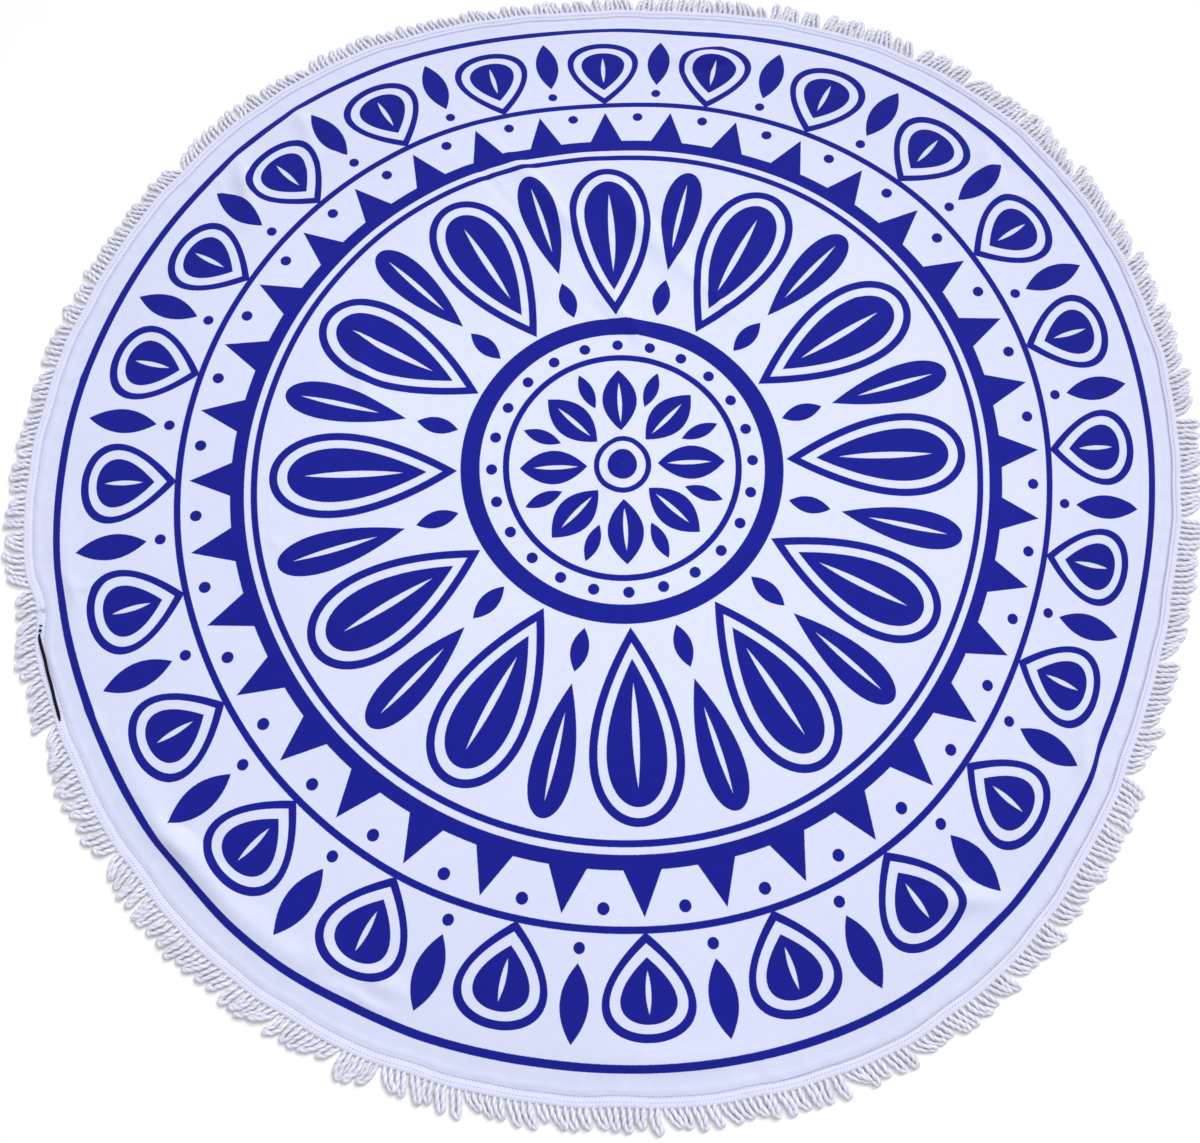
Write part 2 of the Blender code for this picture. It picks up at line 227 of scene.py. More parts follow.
# A cord of two plies: where the points of its cross-section lie, and how far out each one is.
CORD_ANGLES = np.radians((0, 45, 90, 135, 180, 225, 270, 315))
CORD_SHAPE = np.array((1.0, 0.94, 0.80, 0.94, 1.0, 0.94, 0.80, 0.94))
CORD_FLATNESS = 0.76  # a cord's height as a share of its width, pressed as it lies
CORD_REST = 0.92  # how high its middle lies, as a share of half its height
CORD_CLEARANCE = 0.0002  # between its underside and the ground
PAINTED_SIDE_SHADE = 0.45  # painted shade: how far a cord's colour turns to the grooves' painted shade colour down its sides
SIDE_SHADE_FROM = 0.8  # its sides get painted shade below this height over its middle, 1 being its top
CORD_RINGS = 42  # cross-sections along one loop
LOOP_PIECES = 4  # the loops are kept in this many pieces, each a quarter of the way round
ROOT_DEPTH = 0.0035  # how far a loop's ends reach back into the tape
ROOT_WIDTH, ROOT_RUN = 0.68, 3  # a root's share of the cord's width, and the depths over which it fills out

# The heading tape's cross-section, from its sewn edge over the top to its outer edge: distance from the
# sewn edge, height, and how much of the ribs' height shows there.
ACROSS_TAPE, TAPE_HEIGHT, RIB_SHARE = range(3)
TAPE_SECTION = (
    (0.0000, 0.0001, 0.0),
    (0.0000, 0.0006, 0.0),
    (0.0005, 0.0019, 0.5),
    (0.0020, 0.0025, 0.6),
    (0.0036, 0.0025, 0.7),
    (0.0050, 0.0028, 0.8),
    (0.0068, 0.0033, 1.0),
    (0.0088, 0.0035, 1.0),
    (0.0108, 0.0031, 1.0),
    (0.0120, 0.0020, 0.8),
    (0.0120, 0.0001, 0.0),
)
TAPE_LIP_ROWS = 2  # the first rows are the tape's sewn edge, which gets painted shade where the seam stands open
RIBS_PER_LOOP = 4
COLUMNS_PER_RIB = 4
LOW_RIB = 0.8  # height of every second rib, as a share of the others
TAPE_UNEVENNESS = 0.08  # share by which the tape's height differs round the edge
TAPE_WAVES = (41, 97)  # waves per turn of that difference
TAPE_CLEARANCE = 0.0001  # between the tape's underside and the ground
RIB_TOP_PAINTED_LIGHT, RIB_GROOVE_PAINTED_SHADE, SEAM_LIP_PAINTED_SHADE = 0.85, 0.8, 1.3  # painted light on a rib's top, and the painted shade that its grooves and the lip take from it
TAPE_TINT = 0.8  # the tape's place between the darkest cord's tint at 0 and the lightest's at 1

# The print. Each row is one tier of motifs, placed in a ring about the middle of the cut: its form, how
# many there are, whether they stand between the first tier's directions, where each starts and ends
# outwards, half its width, and the width of its line, or 0 where it is solid. A slit is a leaf that the
# ink leaves bare in the rows before it.
FORM, REPEATS, BETWEEN, MOTIF_FROM, MOTIF_TO, MOTIF_HALF_WIDTH, MOTIF_LINE = range(7)
PRINT = (
    ("ring", 1, False, 0.000, 0.020, 0, 0),
    ("ring", 1, False, 0.031, 0.038, 0, 0),
    ("leaf", 8, False, 0.046, 0.130, 0.0225, 0),
    ("slit", 8, False, 0.058, 0.112, 0.0028, 0),
    ("leaf", 8, True, 0.084, 0.134, 0.0090, 0),
    ("ring", 1, False, 0.143, 0.151, 0, 0),
    ("dot", 24, False, 0.158, 0.172, 0, 0),
    ("ring", 1, False, 0.180, 0.204, 0, 0),
    ("petal", 12, False, 0.208, 0.440, 0.0560, 0.0100),
    ("petal", 12, False, 0.246, 0.418, 0.0355, 0),
    ("slit", 12, False, 0.276, 0.396, 0.0042, 0),
    ("leaf", 12, True, 0.214, 0.268, 0.0110, 0),
    ("petal", 12, True, 0.282, 0.440, 0.0250, 0),
    ("slit", 12, True, 0.318, 0.420, 0.0032, 0),
    ("ring", 1, False, 0.454, 0.462, 0, 0),
    ("ring", 1, False, 0.470, 0.487, 0, 0),
    ("spike", 36, False, 0.485, 0.537, 0.0225, 0),
    ("dot", 36, True, 0.521, 0.535, 0, 0),
    ("ring", 1, False, 0.546, 0.554, 0, 0),
    ("petal", 24, False, 0.552, 0.664, 0.0520, 0.0090),
    ("petal", 24, False, 0.578, 0.646, 0.0315, 0),
    ("slit", 24, False, 0.592, 0.636, 0.0030, 0),
    ("leaf", 24, True, 0.586, 0.668, 0.0160, 0),
    ("dot", 24, True, 0.564, 0.577, 0, 0),
    ("ring", 1, False, 0.684, 0.693, 0, 0),
)
PETAL_SCALE = 1.5 * math.sqrt(3)  # makes a petal's widest place as wide as its row says
PRINT_SOFTNESS = 0.0005  # half the width over which the ink fades at a motif's edge
MAP_WIDTH = 1.5  # the cut's UV map is a square of this width

# ---- sewing ----
THREAD_CORNERS = np.radians((45, 135, 225, 315))
THREAD_TAPER = np.array((0.8, 1, 1, 1, 0.8))  # a stitch's width from end to end
SEAM_STITCH_PITCH = 0.0031
SEAM_STITCH_FROM, SEAM_STITCH_TO = -0.0014, 0.0021  # distances outside the cloth's edge
SEAM_STITCH_SLANT = 0.0016
SEAM_STITCH_SINKS, SEAM_STITCH_RISE = 0.0002, 0.0003
SEAM_STITCH_SCATTER = 0.00012
TAPE_ROW_UNDER_SEAM = 3  # the row of TAPE_SECTION whose height a seam stitch ends at
HEADING_STITCH_PITCH = 0.0042
HEADING_STITCH_START, HEADING_STITCH_SHARE = 0.25, 0.72  # shares of the pitch
HEADING_ROW = 0.0052  # from the tape's sewn edge
HEADING_STITCH_HEIGHTS, HEADING_STITCH_RISE = (0.0030, 0.0030), 0.0007
JOIN_STITCHES = 9  # a bar of stitches holds the trim's two ends
JOIN_STITCH_HALF_LENGTH = 0.0035
JOIN_STITCH_HEIGHTS, JOIN_STITCH_RISE = (0.0028, 0.0028), 0.0014
JOIN_STITCH_SHIFT, JOIN_STITCH_SKEW = 0.0006, 0.0007  # standard deviations along and across the tape
DARK_THREAD_ENDS = ((203.5, 0.0050), (195.1, 0.0056))  # direction, and distance outside the cloth's edge
DARK_THREAD_RUNS = ((0, 1.035), (1.055, 1.085), (1.122, 1.138))  # where it shows, as shares of its run
DARK_THREAD_TURNS = 0.040  # past its end it turns towards +X, by this much for a whole run
DARK_THREAD_WANDER, DARK_THREAD_WAVE = 0.0002, 19  # how far it wanders, and radians of that in a whole run
DARK_THREAD_WIDTH = 0.0038
DARK_THREAD_HEIGHT = 0.0045
DARK_THREAD_FLATNESS = 0.6
DARK_THREAD_RINGS, DARK_THREAD_SIDES = 48, 8
DARK_THREAD_POINT, DARK_THREAD_END_RUN = 0.35, 1 / 14  # an end's share of its width, and of its run

# ---- the view ----
CAMERA_PLACE = (-0.0388, -0.3820, 1.098)
CAMERA_TURN = (13.707, -0.319, -2.326)  # degrees about X, Y and Z
CAMERA_LENS = 27.56
SENSOR_WIDTH = 36.0
WINDOW_TURN = (0, -50, -130)  # degrees about X, Y and Z: it shines from the upper right, 40 degrees up
WINDOW_SPREAD = 25  # degrees across the soft light
LAMP_PLACE, LAMP_WIDTH = (0.10, 0.05, 1.20), 0.5
FLOOR_WIDTH = 8

FRINGE_PIECES = ["heading_tape", *(f"cord_loops_{n + 1}" for n in range(LOOP_PIECES))]


# ---- the laid shape ----
def turn_between(angle, other):
    """The turn from other to angle, from -180 to 180 degrees."""
    return (angle - other + 180) % 360 - 180


def bump(share):
    """1 at share 0, falling smoothly to 0 at share -1 and 1."""
    return np.cos(np.pi / 2 * np.clip(share, -1, 1)) ** 2


def crest(share):
    """As bump, with a narrower top, as cloth has where it was pressed in a fold."""
    return bump(share) / (1 + CREST_SHARPNESS * share**2)


def waves(rows, angle):
    return sum(
        row[WAVE_HEIGHT] * np.cos(np.radians(row[WAVES_PER_TURN] * (angle - row[WAVE_CREST]))) for row in rows
    )


def smooth_radius(angle):
    """Distance from the cloth's middle to its edge, were the edge not drawn in at the trim's join."""
    return HEM_RADIUS + waves(EDGE_WAVES, angle)


def edge_radius(angle):
    """Distance from the cloth's middle to its edge."""
    drawn_in = PINCH_DEPTH * bump(turn_between(angle, PINCH_DIRECTION) / PINCH_HALF_WIDTH)
    return smooth_radius(angle) + waves(HEM_WOBBLE, angle) - drawn_in


def at(angle, radius, height):
    """Points in these directions at these distances from the cloth's middle."""
    turn = np.radians(angle)
    x = CLOTH_MIDDLE[0] + radius * np.cos(turn)
    y = CLOTH_MIDDLE[1] + radius * np.sin(turn)
    return np.stack(np.broadcast_arrays(x, y, height), axis=-1)


def plan_of(u, v, hem_width):
    """Where points of the square pattern from -1 to 1 lie in plan.

    Returns their direction, distance from the middle, and share of the way across the hem. The pattern's
    outermost cells make the hem, and the rest is rounded into the disc inside it.
    """
    inner = 1 - 2 * HEM_CELLS / COARSE_CELLS
    ring = np.maximum(abs(u), abs(v))
    scale = np.maximum(ring, inner)
    right = math.sqrt(2) * np.sin(np.pi / 4 * u / scale) * np.cos(np.pi / 4 * v / scale)
    up = math.sqrt(2) * np.cos(np.pi / 4 * u / scale) * np.sin(np.pi / 4 * v / scale)
    angle = np.degrees(np.arctan2(up, right))
    across_hem = np.clip((ring - inner) / (1 - inner), 0, 1)
    radius = (edge_radius(angle) - hem_width) * np.hypot(right, up) + hem_width * across_hem
    return angle, radius, across_hem


def beside(fold, x, y):
    """How far points lie to a fold's side, and their share of the way along it, from -1 to 1."""
    run_x, run_y = fold[TO_X] - fold[FROM_X], fold[TO_Y] - fold[FROM_Y]
    length = math.hypot(run_x, run_y)
    from_x, from_y = x - fold[FROM_X], y - fold[FROM_Y]
    along = np.clip((from_x * run_x + from_y * run_y) / length**2 * 2 - 1, -1, 1)
    across = (from_y * run_x - from_x * run_y) / length - fold[BOW] * (1 - along**2)
    return across, along


def creases(folds, x, y):
    """Height of these folds at points measured from the cloth's middle."""
    total = np.zeros_like(x)
    for number, fold in enumerate(folds):
        across, along = beside(fold, x, y)
        across = across + CREASE_WOBBLE * np.sin(CREASE_WINDS * along + number)
        uneven = 1 + CREASE_UNEVENNESS * np.sin(CREASE_SWELLS * along + 2 * number)
        total += fold[FOLD_HEIGHT] * uneven * crest(across / (fold[FOLD_WIDTH] / 2)) * bump(along)
    return total


def swells(angle, inside):
    """Height of the swells beside the hem, at this distance inside the edge."""
    total = np.zeros_like(inside)
    for row in HEM_SWELLS:
        middle, half_turn = (row[SWELL_FROM] + row[SWELL_TO]) / 2, (row[SWELL_TO] - row[SWELL_FROM]) / 2
        from_line = (inside - row[SWELL_INSIDE]) / (row[SWELL_WIDTH] / 2)
        total += row[SWELL_HEIGHT] * crest(from_line) * bump(turn_between(angle, middle) / half_turn)
    return total


def laid_height(angle, radius):
    """Height of the cloth's underside above the ground."""
    turn = np.radians(angle)
    x, y = radius * np.cos(turn), radius * np.sin(turn)
    inside = edge_radius(angle) - radius
    fade = np.clip(inside / FOLD_CLEAR_OF_HEM, 0, 1)
    broad = sum(
        row[BROAD_HEIGHT]
        * np.cos(2 * np.pi * (row[PER_METRE_X] * x + row[PER_METRE_Y] * y) + math.radians(row[BROAD_START]))
        for row in BROAD_WAVES
    )
    puckers = waves(PUCKERS, angle) * bump(inside / PUCKER_REACH) * np.clip(inside / PUCKER_RISE, 0, 1)
    lift = LOFT + broad + creases(MAIN_FOLDS, x, y) + creases(FINE_CREASES, x, y)
    return np.maximum(fade * lift + swells(angle, inside) + puckers, 0.0)


def flat_place(angle, radius):
    """Where points of the laid cloth were on the flat cut, measured from its middle."""
    turn = np.radians(angle)
    edge = smooth_radius(angle)
    x, y = radius * np.cos(turn), radius * np.sin(turn)
    stretch = 1 + (HEM_RADIUS / edge - 1) * (radius / edge) ** 2
    flat_x, flat_y = x * stretch, y * stretch
    for fold in MAIN_FOLDS:
        run_x, run_y = fold[TO_X] - fold[FROM_X], fold[TO_Y] - fold[FROM_Y]
        length = math.hypot(run_x, run_y)
        across, along = beside(fold, x, y)
        taken_up = GATHER_SHARE * fold[FOLD_HEIGHT] * bump(along)
        fading = np.exp(-((across / GATHER_REACH) ** 2))
        shift = taken_up / 2 * np.tanh(across * GATHER_SUDDENNESS / fold[FOLD_WIDTH]) * fading
        flat_x -= shift * run_y / length
        flat_y += shift * run_x / length
    return flat_x, flat_y


# ---- the fringe's places ----
def boundary_angle(boundary):
    """Direction of the boundary before the loop of this number. The first one follows the trim's join."""
    return PINCH_DIRECTION + boundary * LOOP_STEP


def unevenness(number):
    """A fixed scatter from -1 to 1 that differs from loop to loop."""
    return np.sin(number * SCATTER_STEPS[0]) * np.cos(number * SCATTER_STEPS[1])


def lock_leans():
    """Each loop's lean in degrees, lock by lock."""
    directions, leans_there = zip(*BRUSHED)
    leans = []
    lock = 0
    while len(leans) < LOOPS:
        size = round(LOOPS_PER_LOCK * (1 + LOCK_SIZE_UNEVENNESS * unevenness(lock)))
        middle = boundary_angle(len(leans) + size / 2) % 360
        lean = np.interp(middle, directions, leans_there) + LOCK_LEAN_UNEVENNESS * unevenness(lock + LOOPS)
        for place in range(size):
            leans.append(lean + LOCK_DRAWN_IN * (1 - (2 * place + 1) / size))
        lock += 1
    return leans[:LOOPS]


def settled_leans():
    """Each loop's lean in degrees, once loops that lean towards each other have held each other up."""
    leans = lock_leans()
    for _ in range(SETTLING_ROUNDS):
        for loop in range(LOOPS):
            too_far = max(leans[loop - 1] - leans[loop] - CLOSING_LEAN, 0)
            leans[loop - 1] -= too_far / 2
            leans[loop] += too_far / 2
    return np.array(leans)


def loop_lengths():
    """Each loop's length past the tape."""
    loop = np.arange(LOOPS)
    mean = LOOP_LENGTH + waves(LENGTH_WAVES, boundary_angle(loop))
    return mean * (1 + LOOP_UNEVENNESS * unevenness(loop))


def seam_opening(angle):
    """How far the tape's sewn edge is drawn back from the seam."""
    from_middle = abs(turn_between(angle, SEAM_OPEN_MIDDLE))
    return SEAM_OPEN_WIDTH * np.clip((SEAM_OPEN_HALF_TURN - from_middle) / SEAM_OPENS_OVER, 0, 1)


# ---- meshes of cords and threads ----
def sections_along(paths, half_width, angles, shape, roll, flatten=1.0):
    """Cross-sections square to these paths: an array of paths, rings, points round and coordinates."""
    run = np.gradient(paths, axis=1)
    run /= np.linalg.norm(run, axis=-1, keepdims=True)
    side = np.stack((-run[..., 1], run[..., 0], np.zeros(run.shape[:-1])), axis=-1)
    side /= np.linalg.norm(side, axis=-1, keepdims=True)
    up = np.cross(run, side) * flatten
    turn = angles + roll[..., None]
    spread = half_width[..., None] * shape
    aside, raised = spread * np.cos(turn), spread * np.sin(turn)
    return paths[:, :, None] + aside[..., None] * side[:, :, None] + raised[..., None] * up[:, :, None]


def length_along(paths):
    steps = np.linalg.norm(np.diff(paths, axis=1), axis=-1)
    return np.concatenate((np.zeros((len(paths), 1)), np.cumsum(steps, axis=1)), axis=1)


def add_piece(name, vertices, faces, finish, corner_uv=None, point_values=None):
    """A new mesh object at the origin, with a UV map and named values at its points."""
    mesh = bpy.data.meshes.new(name)
    mesh.from_pydata(vertices, [], faces)
    if corner_uv is not None:
        mesh.uv_layers.new(name="cut").data.foreach_set("uv", corner_uv.astype(np.float32).ravel())
    for value_name, values in (point_values or {}).items():
        mesh.attributes.new(value_name, "FLOAT", "POINT").data.foreach_set("value", values.astype(np.float32))
    mesh.materials.append(finish)
    mesh.shade_smooth()
    piece = bpy.data.objects.new(name, mesh)
    bpy.context.scene.collection.objects.link(piece)
    return piece


def add_swept(name, sections, along, finish, **point_values):
    """Closed tubes from their cross-sections. along gives each ring's distance from its tube's start."""
    tubes, rings, sides = sections.shape[:3]
    number = np.arange(tubes * rings * sides).reshape(tubes, rings, sides)
    following = np.roll(number, -1, axis=2)
    walls = np.stack((number[:, :-1], following[:, :-1], following[:, 1:], number[:, 1:]), axis=-1)
    start_caps, end_caps = number[:, 0, ::-1], number[:, -1]
    faces = walls.reshape(-1, 4).tolist() + start_caps.tolist() + end_caps.tolist()

    around = np.broadcast_to(np.arange(sides) / sides, (tubes, rings - 1, sides))
    low = np.broadcast_to(along[:, :-1, None], around.shape)
    high = np.broadcast_to(along[:, 1:, None], around.shape)
    past = around + 1 / sides
    wall_uv = np.stack((low, around, low, past, high, past, high, around), axis=-1).reshape(-1, 2)
    corner_uv = np.concatenate((wall_uv, np.zeros((2 * tubes * sides, 2))))
    shape = (tubes, rings, sides)
    values = {key: np.broadcast_to(value, shape).ravel() for key, value in point_values.items()}
    return add_piece(name, sections.reshape(-1, 3), faces, finish, corner_uv, values)


def hand_over(piece, slot, *nodes):
    """Gives a finished piece its place and hides the solids that it stands for."""
    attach(piece, "root")
    if nodes:
        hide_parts(*nodes)


# ---- shader nodes ----
NODES_PER_ROW, NODE_ACROSS, NODE_DOWN = 9, 220, -260
FINE = 3.0  # detail of a fine noise

# Grains of the towelling, each a count a metre, the tufts' share of its pile, and the values of its slow
# noise and of the fibres' noise that give the darkest and the lightest tone.
TUFTS, FLUFF, BRUSH_MARKS, CLOUDS, PATCHES, INK_BLEED = 620.0, 1500.0, 34.0, 3.2, 75.0, 520.0
TUFT_SHARE = 0.9
SLOW_RANGE, FIBRE_RANGE = (0.6, 1.4), (0.3, 0.7)
FIBRE_SHARE, PAINTED_LIGHT_RANGE = 0.3, (-0.1, 0.9)  # likewise for a cord's painted light and painted shade between its plies, with that share of its fibres' tone


def add_node(tree, kind, **settings):
    """A node, set out in rows in the order of making."""
    made = tree.nodes.new(kind)
    row, place = divmod(len(tree.nodes) - 1, NODES_PER_ROW)
    made.location = (NODE_ACROSS * place, NODE_DOWN * row)
    for name, value in settings.items():
        setattr(made, name, value)
    return made


def feed(tree, socket, value):
    """Links a node's output to a socket, or sets the socket to a plain value."""
    if isinstance(value, bpy.types.NodeSocket):
        tree.links.new(value, socket)
    else:
        socket.default_value = value


def maths(tree, operation, *values):
    made = add_node(tree, "ShaderNodeMath", operation=operation)
    for socket, value in zip(made.inputs, values):
        feed(tree, socket, value)
    return made.outputs["Value"]


def use_group(tree, group, **values):
    """Places a node group and returns its outputs. Socket names are written with _ for a space."""
    made = add_node(tree, "ShaderNodeGroup", node_tree=group)
    for name, value in values.items():
        feed(tree, made.inputs[name.replace("_", " ")], value)
    return made.outputs


def new_group(name, inputs, outputs):
    """An empty node group: its tree, the outputs of its input node and the inputs of its output node."""
    group = bpy.data.node_groups.new(name, "ShaderNodeTree")
    for socket_name in inputs:
        kind = "NodeSocketVector" if socket_name in ("Cut", "Vector") else "NodeSocketFloat"
        group.interface.new_socket(socket_name, in_out="INPUT", socket_type=kind)
    for socket_name in outputs:
        group.interface.new_socket(socket_name, in_out="OUTPUT", socket_type="NodeSocketFloat")
    return group, add_node(group, "NodeGroupInput").outputs, add_node(group, "NodeGroupOutput").inputs


def ring_cell_group():
    """Divides the cut into equal cells round its middle: distances along and across each cell's line."""
    group, given, result = new_group("ring cell", ("Cut", "Repeats", "Turn"), ("Out", "Along", "Across"))
    parts = add_node(group, "ShaderNodeSeparateXYZ")
    feed(group, parts.inputs["Vector"], given["Cut"])
    length = add_node(group, "ShaderNodeVectorMath", operation="LENGTH")
    feed(group, length.inputs[0], given["Cut"])
    out = length.outputs["Value"]
    turn = maths(group, "ARCTAN2", parts.outputs["Y"], parts.outputs["X"])
    turns = maths(group, "DIVIDE", turn, 2 * math.pi)
    counted = maths(group, "ADD", maths(group, "MULTIPLY", turns, given["Repeats"]), given["Turn"])
    in_cell = maths(group, "WRAP", counted, 0.5, -0.5)
    cell_turn = maths(group, "DIVIDE", maths(group, "MULTIPLY", in_cell, 2 * math.pi), given["Repeats"])
    feed(group, result["Out"], out)
    feed(group, result["Along"], maths(group, "MULTIPLY", out, maths(group, "COSINE", cell_turn)))
    feed(group, result["Across"], maths(group, "MULTIPLY", out, maths(group, "SINE", cell_turn)))
    return group


MOTIF_SOCKETS = ("Along", "Across", "From", "To", "Half Width")


def motif_group(name, half_width_at):
    """A motif between two distances, as a distance inside its outline, below zero outside.

    half_width_at(group, share, given) makes the nodes for its half width at a share of the way along.
    """
    group, given, result = new_group(name, MOTIF_SOCKETS, ("Inside",))
    past_start = maths(group, "SUBTRACT", given["Along"], given["From"])
    before_end = maths(group, "SUBTRACT", given["To"], given["Along"])
    length = maths(group, "SUBTRACT", given["To"], given["From"])
    share = maths(group, "MINIMUM", maths(group, "MAXIMUM", maths(group, "DIVIDE", past_start, length), 0), 1)
    half_width = half_width_at(group, share, given)
    from_side = maths(group, "SUBTRACT", half_width, maths(group, "ABSOLUTE", given["Across"]))
    from_ends = maths(group, "MINIMUM", past_start, before_end)
    feed(group, result["Inside"], maths(group, "MINIMUM", from_side, from_ends))
    return group


def arched(group, share, given):
    """Four times share times its rest: 0 at both ends and 1 halfway."""
    rest = maths(group, "SUBTRACT", 1, share)
    arch = maths(group, "MULTIPLY", maths(group, "MULTIPLY", share, rest), 4)
    return maths(group, "MULTIPLY", arch, given["Half Width"])


def teardrop(group, share, given):
    """A point at its start and a round end, widest two thirds of the way along."""
    rest = maths(group, "SQRT", maths(group, "SUBTRACT", 1, share))
    drop = maths(group, "MULTIPLY", maths(group, "MULTIPLY", share, rest), PETAL_SCALE)
    return maths(group, "MULTIPLY", drop, given["Half Width"])


def narrowing(group, share, given):
    return maths(group, "MULTIPLY", maths(group, "SUBTRACT", 1, share), given["Half Width"])


def dot_group():
    """A round motif whose outline touches both distances."""
    group, given, result = new_group("dot", MOTIF_SOCKETS, ("Inside",))
    middle = maths(group, "MULTIPLY", maths(group, "ADD", given["From"], given["To"]), 0.5)
    radius = maths(group, "MULTIPLY", maths(group, "SUBTRACT", given["To"], given["From"]), 0.5)
    off = add_node(group, "ShaderNodeCombineXYZ")
    feed(group, off.inputs["X"], maths(group, "SUBTRACT", given["Along"], middle))
    feed(group, off.inputs["Y"], given["Across"])
    away = add_node(group, "ShaderNodeVectorMath", operation="LENGTH")
    feed(group, away.inputs[0], off.outputs["Vector"])
    feed(group, result["Inside"], maths(group, "SUBTRACT", radius, away.outputs["Value"]))
    return group


def noise(tree, vector, scale, detail=2.0):
    made = add_node(tree, "ShaderNodeTexNoise")
    feed(tree, made.inputs["Vector"], vector)
    feed(tree, made.inputs["Scale"], scale)
    feed(tree, made.inputs["Detail"], detail)
    return made.outputs["Fac"]


def between(tree, value, low, high, to_low=0.0, to_high=1.0, smooth=False):
    """Maps a value's range to another one."""
    made = add_node(tree, "ShaderNodeMapRange", interpolation_type="SMOOTHSTEP" if smooth else "LINEAR")
    for socket, number in zip(made.inputs[:5], (value, low, high, to_low, to_high)):
        feed(tree, socket, number)
    return made.outputs["Result"]


def mixed(tree, share, first, second, blend="MIX"):
    made = add_node(tree, "ShaderNodeMix", data_type="RGBA", blend_type=blend)
    feed(tree, made.inputs["Factor"], share)
    feed(tree, made.inputs["A"], first)
    feed(tree, made.inputs["B"], second)
    return made.outputs["Result"]


def towelling_group():
    """Short pile: its fine height, and the slow change of tone over the cloth."""
    group, given, result = new_group("towelling pile", ("Cut",), ("Height", "Tone"))
    tufts = add_node(group, "ShaderNodeTexVoronoi", feature="SMOOTH_F1")
    feed(group, tufts.inputs["Vector"], given["Cut"])
    feed(group, tufts.inputs["Scale"], TUFTS)
    fluff = noise(group, given["Cut"], FLUFF, FINE)
    pile = maths(group, "ADD", maths(group, "MULTIPLY", tufts.outputs["Distance"], TUFT_SHARE), fluff)
    brushed = noise(group, given["Cut"], BRUSH_MARKS, FINE)
    feed(group, result["Height"], maths(group, "ADD", pile, brushed))
    slow = maths(group, "ADD", noise(group, given["Cut"], CLOUDS), noise(group, given["Cut"], PATCHES, FINE))
    feed(group, result["Tone"], between(group, slow, *SLOW_RANGE))
    return group


def fibre_group():
    """Fibres that run along a spun cord: their fine height and tone. The map's X runs along the cord."""
    inputs = ("Vector", "Along Scale", "Around Scale")
    group, given, result = new_group("spun fibre", inputs, ("Height", "Tone"))
    parts = add_node(group, "ShaderNodeSeparateXYZ")
    feed(group, parts.inputs["Vector"], given["Vector"])
    stretched = add_node(group, "ShaderNodeCombineXYZ")
    feed(group, stretched.inputs["X"], maths(group, "MULTIPLY", parts.outputs["X"], given["Along Scale"]))
    feed(group, stretched.inputs["Y"], maths(group, "MULTIPLY", parts.outputs["Y"], given["Around Scale"]))
    fibres = noise(group, stretched.outputs["Vector"], 1.0, FINE)
    feed(group, result["Height"], fibres)
    feed(group, result["Tone"], between(group, fibres, *FIBRE_RANGE))
    return group


# ---- materials ----
SHEEN_ROUGHNESS, CLOTH_SPECULAR = 0.5, 0.15


def start_material(name, roughness, sheen):
    """A new material with its matt cloth shader."""
    made = bpy.data.materials.new(name)
    made.use_nodes = True
    shader = made.node_tree.nodes["Principled BSDF"]
    shader.inputs["Roughness"].default_value = roughness
    shader.inputs["Sheen Weight"].default_value = sheen
    shader.inputs["Sheen Roughness"].default_value = SHEEN_ROUGHNESS
    shader.inputs["Specular IOR Level"].default_value = CLOTH_SPECULAR
    return made, made.node_tree, shader


def raise_surface(tree, shader, height, distance, strength):
    made = add_node(tree, "ShaderNodeBump")
    feed(tree, made.inputs["Height"], height)
    made.inputs["Distance"].default_value = distance
    made.inputs["Strength"].default_value = strength
    feed(tree, shader.inputs["Normal"], made.outputs["Normal"])


def cut_coordinates(tree):
    """Metres from the middle of the flat cut."""
    place = add_node(tree, "ShaderNodeUVMap", uv_map="cut")
    moved = add_node(tree, "ShaderNodeVectorMath", operation="SUBTRACT")
    feed(tree, moved.inputs[0], place.outputs["UV"])
    moved.inputs[1].default_value = (0.5, 0.5, 0)
    scaled = add_node(tree, "ShaderNodeVectorMath", operation="SCALE")
    feed(tree, scaled.inputs[0], moved.outputs["Vector"])
    scaled.inputs["Scale"].default_value = MAP_WIDTH
    return scaled.outputs["Vector"]


def inside_ring(tree, placed, row):
    """How far points lie inside a plain ring of ink."""
    middle, half_width = (row[MOTIF_FROM] + row[MOTIF_TO]) / 2, (row[MOTIF_TO] - row[MOTIF_FROM]) / 2
    off = maths(tree, "ABSOLUTE", maths(tree, "SUBTRACT", placed["Out"], middle))
    return maths(tree, "SUBTRACT", half_width, off)


def inside_motif(tree, motif, placed, row, line=0.0):
    """How far points lie inside the nearest motif of a tier, or inside a petal's line of this width."""
    start = row[MOTIF_FROM]
    if line:
        slope = PETAL_SCALE * row[MOTIF_HALF_WIDTH] / (row[MOTIF_TO] - row[MOTIF_FROM])
        start += line / math.sin(math.atan(slope))
    return use_group(
        tree,
        motif,
        Along=placed["Along"],
        Across=placed["Across"],
        From=start,
        To=row[MOTIF_TO] - line,
        Half_Width=row[MOTIF_HALF_WIDTH] - line,
    )["Inside"]


